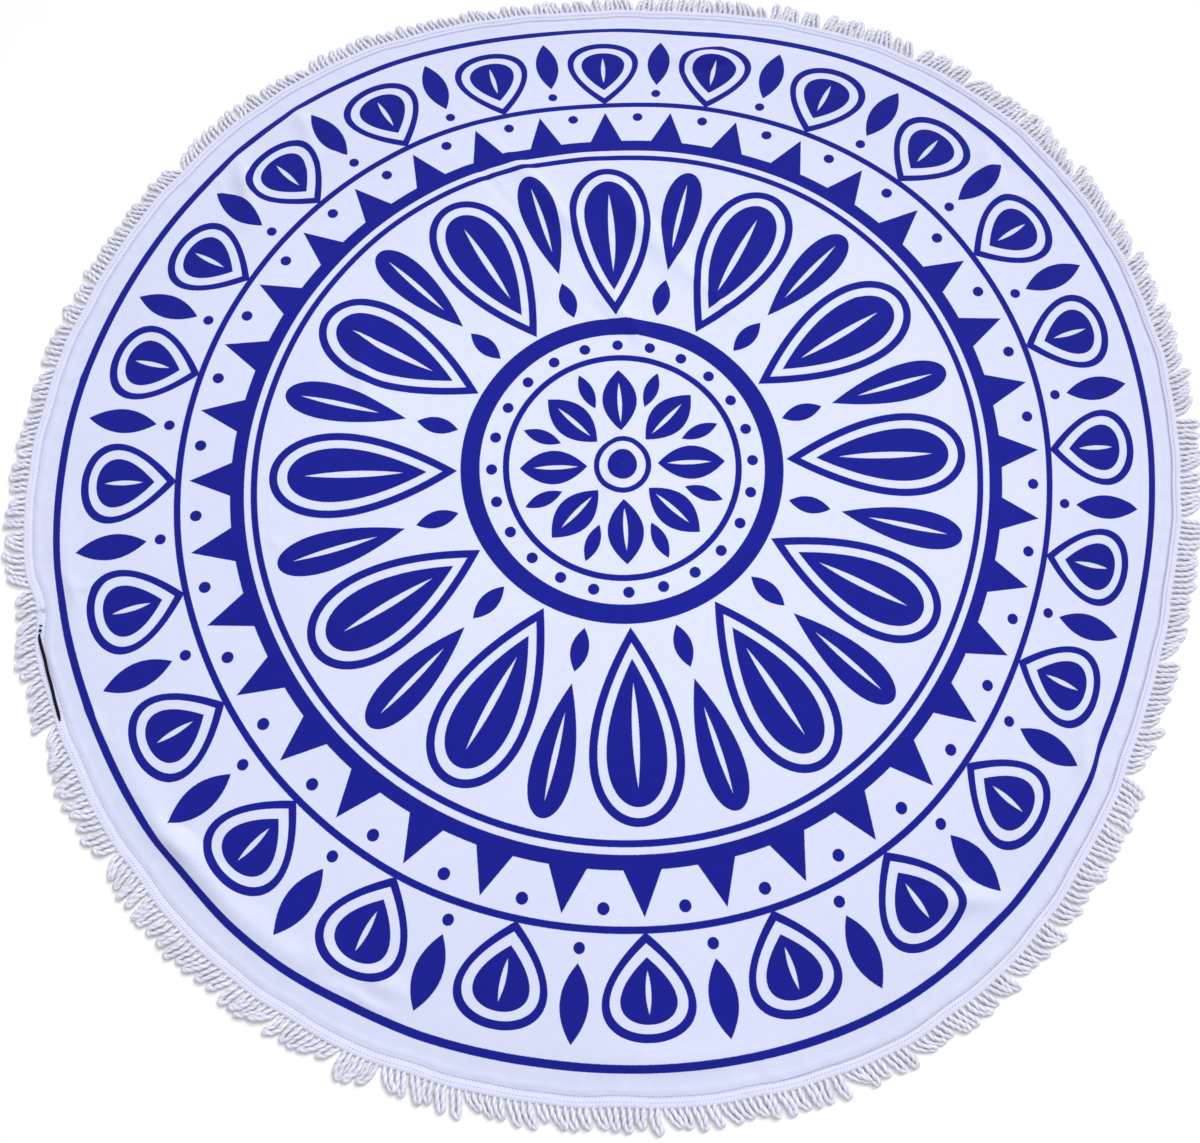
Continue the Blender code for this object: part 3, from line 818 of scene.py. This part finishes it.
def printed_share(tree, cut):
    """How much of the surface the print's ink covers, from its tiers."""
    cell = ring_cell_group()
    leaf = motif_group("leaf", arched)
    motifs = {
        "leaf": leaf,
        "slit": leaf,
        "petal": motif_group("petal", teardrop),
        "spike": motif_group("spike", narrowing),
        "dot": dot_group(),
    }
    inside = -1.0
    for row in PRINT:
        turn = 0.5 if row[BETWEEN] else 0.0
        placed = use_group(tree, cell, Cut=cut, Repeats=row[REPEATS], Turn=turn)
        if row[FORM] == "ring":
            shown = inside_ring(tree, placed, row)
        else:
            shown = inside_motif(tree, motifs[row[FORM]], placed, row)
        if row[MOTIF_LINE]:
            hollow = inside_motif(tree, motifs[row[FORM]], placed, row, row[MOTIF_LINE])
            shown = maths(tree, "MINIMUM", shown, maths(tree, "MULTIPLY", hollow, -1))
        if row[FORM] == "slit":
            inside = maths(tree, "MINIMUM", inside, maths(tree, "MULTIPLY", shown, -1))
        else:
            inside = maths(tree, "MAXIMUM", inside, shown)
    bleed = between(tree, noise(tree, cut, INK_BLEED), 0.0, 1.0, -PRINT_SOFTNESS, PRINT_SOFTNESS)
    edge = maths(tree, "ADD", inside, bleed)
    return between(tree, edge, -PRINT_SOFTNESS, PRINT_SOFTNESS, smooth=True)


def toned(tree, tone, colour, share):
    """A colour that varies with a tone between itself and this share of itself, darkest where tone is 0."""
    other = tuple(channel * share for channel in colour)
    darker, lighter = (other, colour) if share < 1 else (colour, other)
    return mixed(tree, tone, (*darker, 1), (*lighter, 1))


def towelling_material(name, pile, colour, ink=None):
    made, tree, shader = start_material(name, roughness=0.92, sheen=0.05)
    cut = cut_coordinates(tree)
    surface = use_group(tree, pile, Cut=cut)
    tone = toned(tree, surface["Tone"], colour, share=0.94)
    if ink is not None:
        inked = toned(tree, surface["Tone"], ink, share=1.25)
        tone = mixed(tree, printed_share(tree, cut), tone, inked)
    feed(tree, shader.inputs["Base Color"], tone)
    raise_surface(tree, shader, surface["Height"], distance=0.0003, strength=0.5)
    return made


def cord_material(name, fibre, colour, painted_groove_shade):
    """Spun cotton with painted shade where its plies meet and wherever its painted light is low."""
    made, tree, shader = start_material(name, roughness=0.85, sheen=0.2)
    place = add_node(tree, "ShaderNodeUVMap", uv_map="cut").outputs["UV"]
    fibres = use_group(tree, fibre, Vector=place, Along_Scale=700.0, Around_Scale=14.0)
    ply = add_node(tree, "ShaderNodeAttribute", attribute_name="ply_top").outputs["Fac"]
    tint = add_node(tree, "ShaderNodeAttribute", attribute_name="tint").outputs["Fac"]
    plain = toned(tree, tint, colour, share=0.93)
    spun = maths(tree, "MULTIPLY", fibres["Tone"], FIBRE_SHARE)
    lit = between(tree, maths(tree, "ADD", ply, spun), *PAINTED_LIGHT_RANGE)
    feed(tree, shader.inputs["Base Color"], mixed(tree, lit, (*painted_groove_shade, 1), plain))
    raise_surface(tree, shader, fibres["Height"], distance=0.0004, strength=0.6)
    return made


def thread_material(name, fibre, colour, roughness, sheen):
    made, tree, shader = start_material(name, roughness, sheen)
    place = add_node(tree, "ShaderNodeUVMap", uv_map="cut").outputs["UV"]
    fibres = use_group(tree, fibre, Vector=place, Along_Scale=1800.0, Around_Scale=6.0)
    feed(tree, shader.inputs["Base Color"], toned(tree, fibres["Tone"], colour, share=0.8))
    raise_surface(tree, shader, fibres["Height"], distance=0.0001, strength=0.5)
    return made


def floor_material(name, colour):
    made, tree, shader = start_material(name, roughness=0.9, sheen=0.0)
    place = add_node(tree, "ShaderNodeTexCoord").outputs["Object"]
    mottle = noise(tree, place, scale=6.0)
    feed(tree, shader.inputs["Base Color"], toned(tree, mottle, colour, share=0.995))
    return made


def spun_finish(name, make, *details):
    """The material of this name for cord or thread, made the first time."""
    fibre = bpy.data.node_groups.get("spun fibre") or fibre_group()
    return bpy.data.materials.get(name) or make(name, fibre, *details)


def cord_finish(sizes):
    return spun_finish("cotton_cord", cord_material, sizes.cord_colour, sizes.painted_groove_shade)


def tape_finish(sizes):
    return spun_finish("heading_weave", cord_material, sizes.tape_colour, sizes.painted_groove_shade)


def thread_finish(sizes):
    return spun_finish("white_thread", thread_material, sizes.thread_colour, 0.6, 0.1)


def dark_thread_finish(sizes):
    return spun_finish("dark_thread", thread_material, sizes.dark_thread_colour, 0.7, 0.0)


# ---- settings ----
def colour_property(name, description, default):
    return bpy.props.FloatVectorProperty(
        name=name, description=description, subtype="COLOR", size=3, min=0, max=1, default=default
    )


def length_property(name, description, default):
    return bpy.props.FloatProperty(
        name=name, description=description, default=default, min=0, unit="LENGTH", precision=5
    )


class TowelCloth(bpy.types.PropertyGroup):
    """Sizes and colours of the printed towelling."""

    thickness: length_property("Thickness", "Thickness of the towelling", 0.0018)
    hem_width: length_property("Hem width", "Width of the turned and sewn hem", 0.012)
    hem_rise: length_property("Hem rise", "How much the hem stands above the cloth", 0.0006)
    cloth_colour: colour_property("Cloth", "Colour of the bare towelling", (0.648, 0.685, 0.890))
    ink_colour: colour_property("Ink", "Colour of the print", (0.0060, 0.0090, 0.222))


class TowelFringe(bpy.types.PropertyGroup):
    """Sizes and colours of the cord loops, their tape and the sewing."""

    cord_half_width: length_property("Cord half width", "Half the width of a two-ply cord", 0.0036)
    legs_apart: length_property("Legs apart", "Distance between the two legs of a loop", 0.0074)
    ply_pitch: length_property("Ply pitch", "Length of cord from one ply's top to the other's", 0.0080)
    rib_height: length_property("Rib height", "Height of the heading tape's ribs", 0.0013)
    rib_slant: length_property("Rib slant", "How far a rib leans round the edge across the tape", 0.0062)
    thread_width: length_property("Thread", "Width of the sewing thread", 0.0006)
    scatter: bpy.props.IntProperty(name="Scatter", description="Which uneven lie the loops take", default=7)
    cord_colour: colour_property("Cord", "Colour of the cotton cord", (0.800, 0.815, 0.945))
    tape_colour: colour_property("Tape", "Colour of the heading tape", (0.715, 0.745, 0.950))
    # the painted shade colour, given where a cord's plies meet, down its sides and in the tape's grooves
    painted_groove_shade: colour_property("Grooves", "Colour between a cord's plies", (0.540, 0.535, 0.665))
    thread_colour: colour_property("Thread", "Colour of the sewing thread", (0.700, 0.715, 0.880))
    dark_thread_colour: colour_property("Dark thread", "Colour of the dark thread", (0.003, 0.003, 0.005))


class TowelStage(bpy.types.PropertyGroup):
    """The plain studio round the towel."""

    floor_colour: colour_property("Floor", "Colour of the floor", (0.96, 0.96, 0.96))
    sky_strength: bpy.props.FloatProperty(
        name="Even light", description="Strength of the light from all round", default=0.60, min=0
    )
    window_strength: bpy.props.FloatProperty(
        name="Window light", description="Strength of the soft light from the upper right", default=1.7, min=0
    )
    lamp_power: bpy.props.FloatProperty(
        name="Lamp", description="Power of the soft lamp overhead", default=4.6, min=0, unit="POWER"
    )


# ---- operators ----
class TOWEL_OT_make_heading(bpy.types.Operator):
    """Makes the ribbed tape that carries the loops and is sewn round the hem"""

    bl_idname = "towel.make_heading"
    bl_label = "Heading tape"

    def execute(self, context):
        sizes = context.scene.towel_fringe
        columns = LOOPS * RIBS_PER_LOOP * COLUMNS_PER_RIB + 1
        end_ease = math.degrees(TAPE_END_GAP / 2 / HEM_RADIUS)
        turns = np.linspace(end_ease, 360 - end_ease, columns)[:, None]
        rows = np.array(TAPE_SECTION)
        slant = math.degrees(sizes.rib_slant / HEM_RADIUS) * (rows[:, ACROSS_TAPE] / TAPE_WIDTH - 0.5)
        rib = (turns + slant) / LOOP_STEP * RIBS_PER_LOOP
        strength = np.where(rib // 1 % 2, LOW_RIB, 1.0) * rows[:, RIB_SHARE]
        rise = sizes.rib_height * strength * (abs(np.sin(np.pi * rib)) - 0.5)
        wave, counter_wave = (np.radians(per_turn * turns) for per_turn in TAPE_WAVES)
        uneven = 1 + TAPE_UNEVENNESS * np.sin(wave) * np.cos(counter_wave)
        heights = np.maximum(rows[:, TAPE_HEIGHT] * uneven + rise, TAPE_CLEARANCE)
        angles = PINCH_DIRECTION + turns
        across = rows[:, ACROSS_TAPE] + seam_opening(angles) * (1 - rows[:, ACROSS_TAPE] / TAPE_WIDTH)
        section = at(angles, edge_radius(angles) + SEAM_GAP + across, heights)[None]
        # Painted light on the tape: painted shade in the grooves between ribs, and on the lip where the seam
        # stands open
        tone = RIB_TOP_PAINTED_LIGHT - RIB_GROOVE_PAINTED_SHADE * rows[:, RIB_SHARE] * (1 - abs(np.sin(np.pi * rib)))
        tone[:, :TAPE_LIP_ROWS] -= SEAM_LIP_PAINTED_SHADE * seam_opening(angles) / SEAM_OPEN_WIDTH
        around = np.radians(turns[:, 0])[None] * HEM_RADIUS
        finish = tape_finish(sizes)
        tape = add_swept("heading_tape", section, around, finish, ply_top=tone[None], tint=TAPE_TINT)
        hand_over(tape, "cord", "loop_fringe")
        return {"FINISHED"}


class TOWEL_OT_make_loops(bpy.types.Operator):
    """Makes the fringe's loops of two-ply cord, which lean in locks and lie on the ground"""

    bl_idname = "towel.make_loops"
    bl_label = "Cord loops"

    def execute(self, context):
        sizes = context.scene.towel_fringe
        scatter = np.random.default_rng(sizes.scatter)
        loop = np.arange(LOOPS)
        lean = np.radians(settled_leans())
        length = loop_lengths()
        full_reach = length * np.cos(lean)
        half_apart = sizes.legs_apart / 2 * scatter.uniform(*LEGS_APART_RANGE, LOOPS)
        cord = sizes.cord_half_width * scatter.uniform(*CORD_WIDTH_RANGE, LOOPS)
        cord *= np.cos(lean) ** LEAN_SQUEEZE
        tip = full_reach * scatter.uniform(*REACH_RANGE, LOOPS) - cord
        leg = tip - half_apart + ROOT_DEPTH
        whole = 2 * leg + np.pi * half_apart

        # Each loop is walked down one leg, round its end and back up the other.
        walked = np.linspace(0, 1, CORD_RINGS) * whole[:, None]
        leg, half_apart, tip, cord = leg[:, None], half_apart[:, None], tip[:, None], cord[:, None]
        bend = np.clip((walked - leg) / half_apart, 0, np.pi)
        aside = -half_apart * np.cos(bend)
        straight = np.where(walked < leg + np.pi / 2 * half_apart, walked, whole[:, None] - walked)
        round_end = tip - half_apart + half_apart * np.sin(bend)
        reach = np.where(bend * (np.pi - bend) > 0, round_end, straight - ROOT_DEPTH)

        # Its place round the edge, with the lean of its lock, and a lean, a hook and a wander of its own.
        tip_shift = LOOP_LENGTH * np.sin(lean)
        start_shift = np.maximum(tip_shift, (np.roll(tip_shift, 1) + tip_shift) / 2)[:, None]
        end_shift = np.minimum(tip_shift, (tip_shift + np.roll(tip_shift, -1)) / 2)[:, None]
        past_tape = np.maximum(reach, 0)
        share = past_tape / full_reach[:, None]
        bent = share**LEAN_CURVE * length[:, None] / LOOP_LENGTH
        per_metre = np.degrees(1 / (HEM_RADIUS + TAPE_WIDTH + past_tape))
        own_lean = scatter.normal(0, OWN_LEAN, (LOOPS, 1)) * share
        hook = scatter.normal(0, TIP_HOOK, (LOOPS, 1)) * share**HOOK_CURVE
        wave_start = scatter.uniform(0, 2 * np.pi, (LOOPS, 1))
        wander = WANDER * np.sin(past_tape / WANDER_RUN + wave_start) * np.minimum(share / WANDERS_FROM, 1)
        room = (LOOP_STEP / per_metre - ROOT_GAP + bent * (end_shift - start_shift)) / 2 - cord
        aside = aside * np.clip(room / half_apart, *LOOP_WIDTH_LIMITS)
        middle = boundary_angle(loop)[:, None] + LOOP_STEP / 2
        shift = bent * (start_shift + end_shift) / 2
        angle = middle + per_metre * (shift + own_lean + hook + wander + aside)
        radius = edge_radius(angle) + SEAM_GAP + TAPE_WIDTH + reach

        # It leaves the tape low and thin and fills out. Where it leans, its second leg lies on the first.
        out_of_tape = np.clip((reach + ROOT_DEPTH) / (ROOT_RUN * ROOT_DEPTH), 0, 1)
        half_width = cord * (ROOT_WIDTH + (1 - ROOT_WIDTH) * out_of_tape)
        risen = np.sin(np.pi * np.clip(share, 0, 1))
        lifted = scatter.uniform(0, LIFT, (LOOPS, 1)) * risen
        stacking = abs(np.sin(lean))[:, None] * bend / np.pi * np.minimum(share / STACKED_FROM, 1)
        height = half_width * CORD_FLATNESS * CORD_REST + lifted + STACK_HEIGHT * stacking
        paths = at(angle, radius, height)
        along = length_along(paths)
        pitch = sizes.ply_pitch * scatter.uniform(*TWIST_RANGE, (LOOPS, 1))
        roll = np.pi * along / pitch + scatter.uniform(0, np.pi, (LOOPS, 1))
        sections = sections_along(paths, half_width, CORD_ANGLES, CORD_SHAPE, roll, CORD_FLATNESS)
        up_side = (sections[..., 2] - height[..., None]) / (half_width[..., None] * CORD_FLATNESS)
        sections[..., 2] = np.maximum(sections[..., 2], CORD_CLEARANCE)
        # Painted light: 1 on the plies' tops, less where the plies meet, and painted shade down the cord's
        # sides
        ply_top = (CORD_SHAPE - CORD_SHAPE.min()) / np.ptp(CORD_SHAPE)
        ply_top = ply_top - PAINTED_SIDE_SHADE * np.clip(SIDE_SHADE_FROM - up_side, 0, 1)
        tint = scatter.uniform(0, 1, (LOOPS, 1, 1))

        quarters = np.array_split(loop, LOOP_PIECES)
        for name, part in zip(FRINGE_PIECES[1:], quarters):
            piece = add_swept(
                name, sections[part], along[part], cord_finish(sizes), ply_top=ply_top[part], tint=tint[part]
            )
            hand_over(piece, "cord", "loop_fringe")
        return {"FINISHED"}


def add_stitches(name, start, end, heights, rise, sizes):
    """A row of short stitches, each arched from one point to another.

    start and end are pairs of arrays: directions and distances outside the cloth's edge. heights are those
    of the two ends.
    """
    share = np.linspace(0, 1, len(THREAD_TAPER))
    angle = start[0][:, None] + (end[0] - start[0])[:, None] * share
    outside = start[1][:, None] + (end[1] - start[1])[:, None] * share
    height = heights[0] + (heights[1] - heights[0]) * share + rise * np.sin(np.pi * share)
    paths = at(angle, edge_radius(angle) + outside, np.broadcast_to(height, angle.shape))
    half_width = np.broadcast_to(sizes.thread_width / 2 * THREAD_TAPER, angle.shape)
    square = np.ones(len(THREAD_CORNERS))
    sections = sections_along(paths, half_width, THREAD_CORNERS, square, np.zeros_like(angle))
    hand_over(add_swept(name, sections, length_along(paths), thread_finish(sizes)), "thread")


class TOWEL_OT_sew(bpy.types.Operator):
    """Sews the tape to the hem, along the tape and across the join of its ends"""

    bl_idname = "towel.sew"
    bl_label = "Stitches"

    def execute(self, context):
        sizes = context.scene.towel_fringe
        cloth_top = context.scene.towel_cloth.thickness + context.scene.towel_cloth.hem_rise
        tape_top = TAPE_SECTION[TAPE_ROW_UNDER_SEAM][TAPE_HEIGHT]
        per_metre = math.degrees(1 / HEM_RADIUS)
        scatter = np.random.default_rng(sizes.scatter)

        count = round(2 * math.pi * HEM_RADIUS / SEAM_STITCH_PITCH)
        angle = PINCH_DIRECTION + np.arange(count) * 360 / count
        start = (angle, SEAM_STITCH_FROM + scatter.normal(0, SEAM_STITCH_SCATTER, count))
        end = (angle + per_metre * SEAM_STITCH_SLANT, np.full(count, SEAM_STITCH_TO))
        heights = (cloth_top - SEAM_STITCH_SINKS, tape_top)
        add_stitches("seam_stitches", start, end, heights, SEAM_STITCH_RISE, sizes)

        count = round(2 * math.pi * HEM_RADIUS / HEADING_STITCH_PITCH)
        angle = PINCH_DIRECTION + (np.arange(count) + HEADING_STITCH_START) * 360 / count
        outside = np.full(count, SEAM_GAP + HEADING_ROW)
        start = (angle, outside)
        end = (angle + per_metre * HEADING_STITCH_PITCH * HEADING_STITCH_SHARE, outside)
        add_stitches("heading_stitches", start, end, HEADING_STITCH_HEIGHTS, HEADING_STITCH_RISE, sizes)

        share = (np.arange(JOIN_STITCHES) + 0.5) / JOIN_STITCHES
        outside = SEAM_GAP + TAPE_WIDTH * share
        middle = PINCH_DIRECTION + per_metre * scatter.normal(0, JOIN_STITCH_SHIFT, JOIN_STITCHES)
        half_stitch = per_metre * JOIN_STITCH_HALF_LENGTH
        start = (middle - half_stitch, outside)
        end = (middle + half_stitch, outside + scatter.normal(0, JOIN_STITCH_SKEW, JOIN_STITCHES))
        add_stitches("join_stitches", start, end, JOIN_STITCH_HEIGHTS, JOIN_STITCH_RISE, sizes)
        return {"FINISHED"}


class TOWEL_OT_lay_dark_thread(bpy.types.Operator):
    """Lays the dark thread that shows on the tape at the towel's left"""

    bl_idname = "towel.lay_dark_thread"
    bl_label = "Dark thread"

    def execute(self, context):
        sizes = context.scene.towel_fringe
        first, last = (
            at(angle, edge_radius(angle) + outside, DARK_THREAD_HEIGHT) for angle, outside in DARK_THREAD_ENDS
        )
        share = np.linspace(0, 1, DARK_THREAD_RINGS)
        along_run = np.array([start + (end - start) * share for start, end in DARK_THREAD_RUNS])
        paths = first + (last - first) * along_run[..., None]
        paths[..., 0] += DARK_THREAD_WANDER * np.sin(along_run * DARK_THREAD_WAVE)
        paths[..., 0] += DARK_THREAD_TURNS * np.maximum(along_run - 1, 0)
        filled = np.clip(np.minimum(share, 1 - share) / DARK_THREAD_END_RUN, 0, 1) ** 0.5
        width = DARK_THREAD_WIDTH * (DARK_THREAD_POINT + (1 - DARK_THREAD_POINT) * filled)
        half_width = np.broadcast_to(width / 2, along_run.shape)
        sides = np.radians(np.arange(DARK_THREAD_SIDES) * 360 / DARK_THREAD_SIDES)
        circle, no_roll = np.ones(DARK_THREAD_SIDES), np.zeros_like(along_run)
        sections = sections_along(paths, half_width, sides, circle, no_roll, DARK_THREAD_FLATNESS)
        piece = add_swept("dark_thread", sections, length_along(paths), dark_thread_finish(sizes))
        hand_over(piece, "dark_thread")
        return {"FINISHED"}


class TOWEL_OT_lay_cloth(bpy.types.Operator):
    """Lays the round printed towelling, with its folds, creases and hem"""

    bl_idname = "towel.lay_cloth"
    bl_label = "Printed cloth"

    def execute(self, context):
        sizes = context.scene.towel_cloth
        cloth = bmesh.new()
        bmesh.ops.create_grid(cloth, x_segments=COARSE_CELLS, y_segments=COARSE_CELLS, size=1)
        finer = self.creased_cells(sizes.hem_width)
        cut_edges = set()
        for face in cloth.faces:
            middle = face.calc_center_median()
            column, row = (math.floor((place + 1) / 2 * COARSE_CELLS) for place in middle.xy)
            if finer[column, row]:
                cut_edges.update(face.edges)
        bmesh.ops.subdivide_edges(cloth, edges=list(cut_edges), cuts=CUTS, use_grid_fill=True)
        many_sided = [face for face in cloth.faces if len(face.verts) > 4]
        bmesh.ops.triangulate(cloth, faces=many_sided, ngon_method="BEAUTY")
        mesh = bpy.data.meshes.new("printed_towelling")
        cloth.to_mesh(mesh)
        cloth.free()

        pattern = np.empty(len(mesh.vertices) * 3)
        mesh.vertices.foreach_get("co", pattern)
        u, v = pattern.reshape(-1, 3)[:, :2].T
        angle, radius, across_hem = plan_of(u, v, sizes.hem_width)
        mesh.vertices.foreach_set("co", at(angle, radius, laid_height(angle, radius)).ravel())
        place = np.stack(flat_place(angle, radius), axis=-1) / MAP_WIDTH + 0.5
        corners = np.empty(len(mesh.loops), np.int32)
        mesh.loops.foreach_get("vertex_index", corners)
        mesh.uv_layers.new(name="cut").data.foreach_set("uv", place[corners].astype(np.float32).ravel())
        mesh.attributes.new("across_hem", "FLOAT", "POINT").data.foreach_set("value", across_hem)

        piece = bpy.data.objects.new("printed_towelling", mesh)
        context.scene.collection.objects.link(piece)
        bpy.ops.object.select_all(action="DESELECT")
        context.view_layer.objects.active = piece
        piece.select_set(True)
        solid = piece.modifiers.new("thickness", "SOLIDIFY")
        solid.thickness = sizes.thickness
        solid.offset = 1
        bpy.ops.object.modifier_apply(modifier=solid.name)
        self.raise_hem(piece.data, sizes)

        pile = towelling_group()
        piece.data.materials.append(
            towelling_material("printed_face", pile, sizes.cloth_colour, sizes.ink_colour)
        )
        piece.data.materials.append(towelling_material("plain_back", pile, sizes.cloth_colour))
        normals = np.empty(len(piece.data.polygons) * 3)
        piece.data.polygons.foreach_get("normal", normals)
        piece.data.polygons.foreach_set("material_index", (normals[2::3] < UPPER_SIDE).astype(np.int32))
        bpy.ops.object.shade_smooth_by_angle(angle=math.radians(SMOOTH_UNDER))
        hand_over(piece, "towelling", "towel_cloth")
        return {"FINISHED"}

    @staticmethod
    def creased_cells(hem_width):
        """Which coarse cells a crease crosses or the hem lies near, by column and row."""
        fine = np.linspace(-1, 1, COARSE_CELLS * (CUTS + 1) + 1)
        u, v = np.meshgrid(fine, fine, indexing="ij")
        angle, radius, _ = plan_of(u, v, hem_width)
        turn = np.radians(angle)
        x, y = radius * np.cos(turn), radius * np.sin(turn)
        lifted = sum(abs(creases([fold], x, y)) for fold in (*MAIN_FOLDS, *FINE_CREASES)) > CREASE_SHOWS_FROM
        step = CUTS + 1
        places = [slice(start, start + COARSE_CELLS * step, step) for start in range(step + 1)]
        finer = np.any([lifted[column, row] for column in places for row in places], axis=0)
        finer[:FINE_RIM_CELLS] = finer[-FINE_RIM_CELLS:] = True
        finer[:, :FINE_RIM_CELLS] = finer[:, -FINE_RIM_CELLS:] = True
        return finer

    @staticmethod
    def raise_hem(mesh, sizes):
        """Gives the hem its softly filled fold on the upper side."""
        across = np.empty(len(mesh.vertices), np.float32)
        mesh.attributes["across_hem"].data.foreach_get("value", across)
        normals = np.empty(len(mesh.vertices) * 3, np.float32)
        mesh.vertices.foreach_get("normal", normals)
        points = np.empty(len(mesh.vertices) * 3, np.float32)
        mesh.vertices.foreach_get("co", points)
        rise = sizes.hem_rise * np.sin(np.pi * across) ** 2
        points[2::3] += np.where(normals[2::3] > UPPER_SIDE, rise, 0)
        mesh.vertices.foreach_set("co", points)
        mesh.attributes.remove(mesh.attributes["across_hem"])
        mesh.update()


class TOWEL_OT_set_stage(bpy.types.Operator):
    """Adds the pale floor, the soft light and the camera above the towel"""

    bl_idname = "towel.set_stage"
    bl_label = "Floor, light and camera"

    def execute(self, context):
        sizes = context.scene.towel_stage
        bpy.ops.object.select_all(action="DESELECT")
        bpy.ops.mesh.primitive_plane_add(size=FLOOR_WIDTH, location=(0, 0, 0))
        floor = context.active_object
        floor.name = "floor"
        floor.data.materials.append(floor_material("floor", sizes.floor_colour))

        world = bpy.data.worlds.new("even light")
        world.use_nodes = True
        sky = world.node_tree.nodes["Background"]
        sky.inputs["Color"].default_value = (1, 1, 1, 1)
        sky.inputs["Strength"].default_value = sizes.sky_strength
        context.scene.world = world

        window = bpy.data.lights.new("window light", "SUN")
        window.angle = math.radians(WINDOW_SPREAD)
        window.energy = sizes.window_strength
        self.add_light(context, window, (1, 1, 1), WINDOW_TURN)

        lamp = bpy.data.lights.new("soft lamp", "AREA")
        lamp.shape = "DISK"
        lamp.size = LAMP_WIDTH
        lamp.energy = sizes.lamp_power
        self.add_light(context, lamp, LAMP_PLACE, (0, 0, 0))

        camera = bpy.data.objects.new("camera", bpy.data.cameras.new("camera"))
        camera.data.lens = CAMERA_LENS
        camera.data.sensor_width = SENSOR_WIDTH
        camera.location = CAMERA_PLACE
        camera.rotation_euler = [math.radians(turn) for turn in CAMERA_TURN]
        context.scene.collection.objects.link(camera)
        context.scene.camera = camera
        context.scene.view_settings.view_transform = "Standard"
        return {"FINISHED"}

    @staticmethod
    def add_light(context, light, place, turn):
        """Puts a light at its place, turned in degrees about X, Y and Z."""
        obj = bpy.data.objects.new(light.name, light)
        obj.location = place
        obj.rotation_euler = [math.radians(part) for part in turn]
        obj.visible_camera = False
        context.scene.collection.objects.link(obj)


class VIEW3D_PT_towel(bpy.types.Panel):
    """Lists the towel's pieces and their sizes"""

    bl_idname = "VIEW3D_PT_towel"
    bl_label = "Round beach towel"
    bl_space_type = "VIEW_3D"
    bl_region_type = "UI"
    bl_category = "Towel"

    def draw(self, context):
        for settings_name, operators in PANEL_PARTS:
            box = self.layout.box()
            settings = getattr(context.scene, settings_name)
            for name in settings.__annotations__:
                box.prop(settings, name)
            for operator in operators:
                box.operator(operator.bl_idname)


FRINGE_OPERATORS = (TOWEL_OT_make_heading, TOWEL_OT_make_loops, TOWEL_OT_sew, TOWEL_OT_lay_dark_thread)
PANEL_PARTS = (
    ("towel_fringe", FRINGE_OPERATORS),
    ("towel_cloth", (TOWEL_OT_lay_cloth,)),
    ("towel_stage", (TOWEL_OT_set_stage,)),
)
SETTINGS = {"towel_cloth": TowelCloth, "towel_fringe": TowelFringe, "towel_stage": TowelStage}
OPERATORS = (*FRINGE_OPERATORS, TOWEL_OT_lay_cloth, TOWEL_OT_set_stage)


def register():
    for cls in (*SETTINGS.values(), *OPERATORS, VIEW3D_PT_towel):
        bpy.utils.register_class(cls)
    for name, group in SETTINGS.items():
        setattr(bpy.types.Scene, name, bpy.props.PointerProperty(type=group))


def unregister():
    for name in SETTINGS:
        delattr(bpy.types.Scene, name)
    for cls in reversed((*SETTINGS.values(), *OPERATORS, VIEW3D_PT_towel)):
        bpy.utils.unregister_class(cls)


def main():
    register()
    bpy.ops.towel.make_heading()
    bpy.ops.towel.make_loops()
    bpy.ops.towel.sew()
    bpy.ops.towel.lay_dark_thread()
    bpy.ops.towel.lay_cloth()
    bpy.ops.towel.set_stage()


if __name__ == "__main__":
    main()
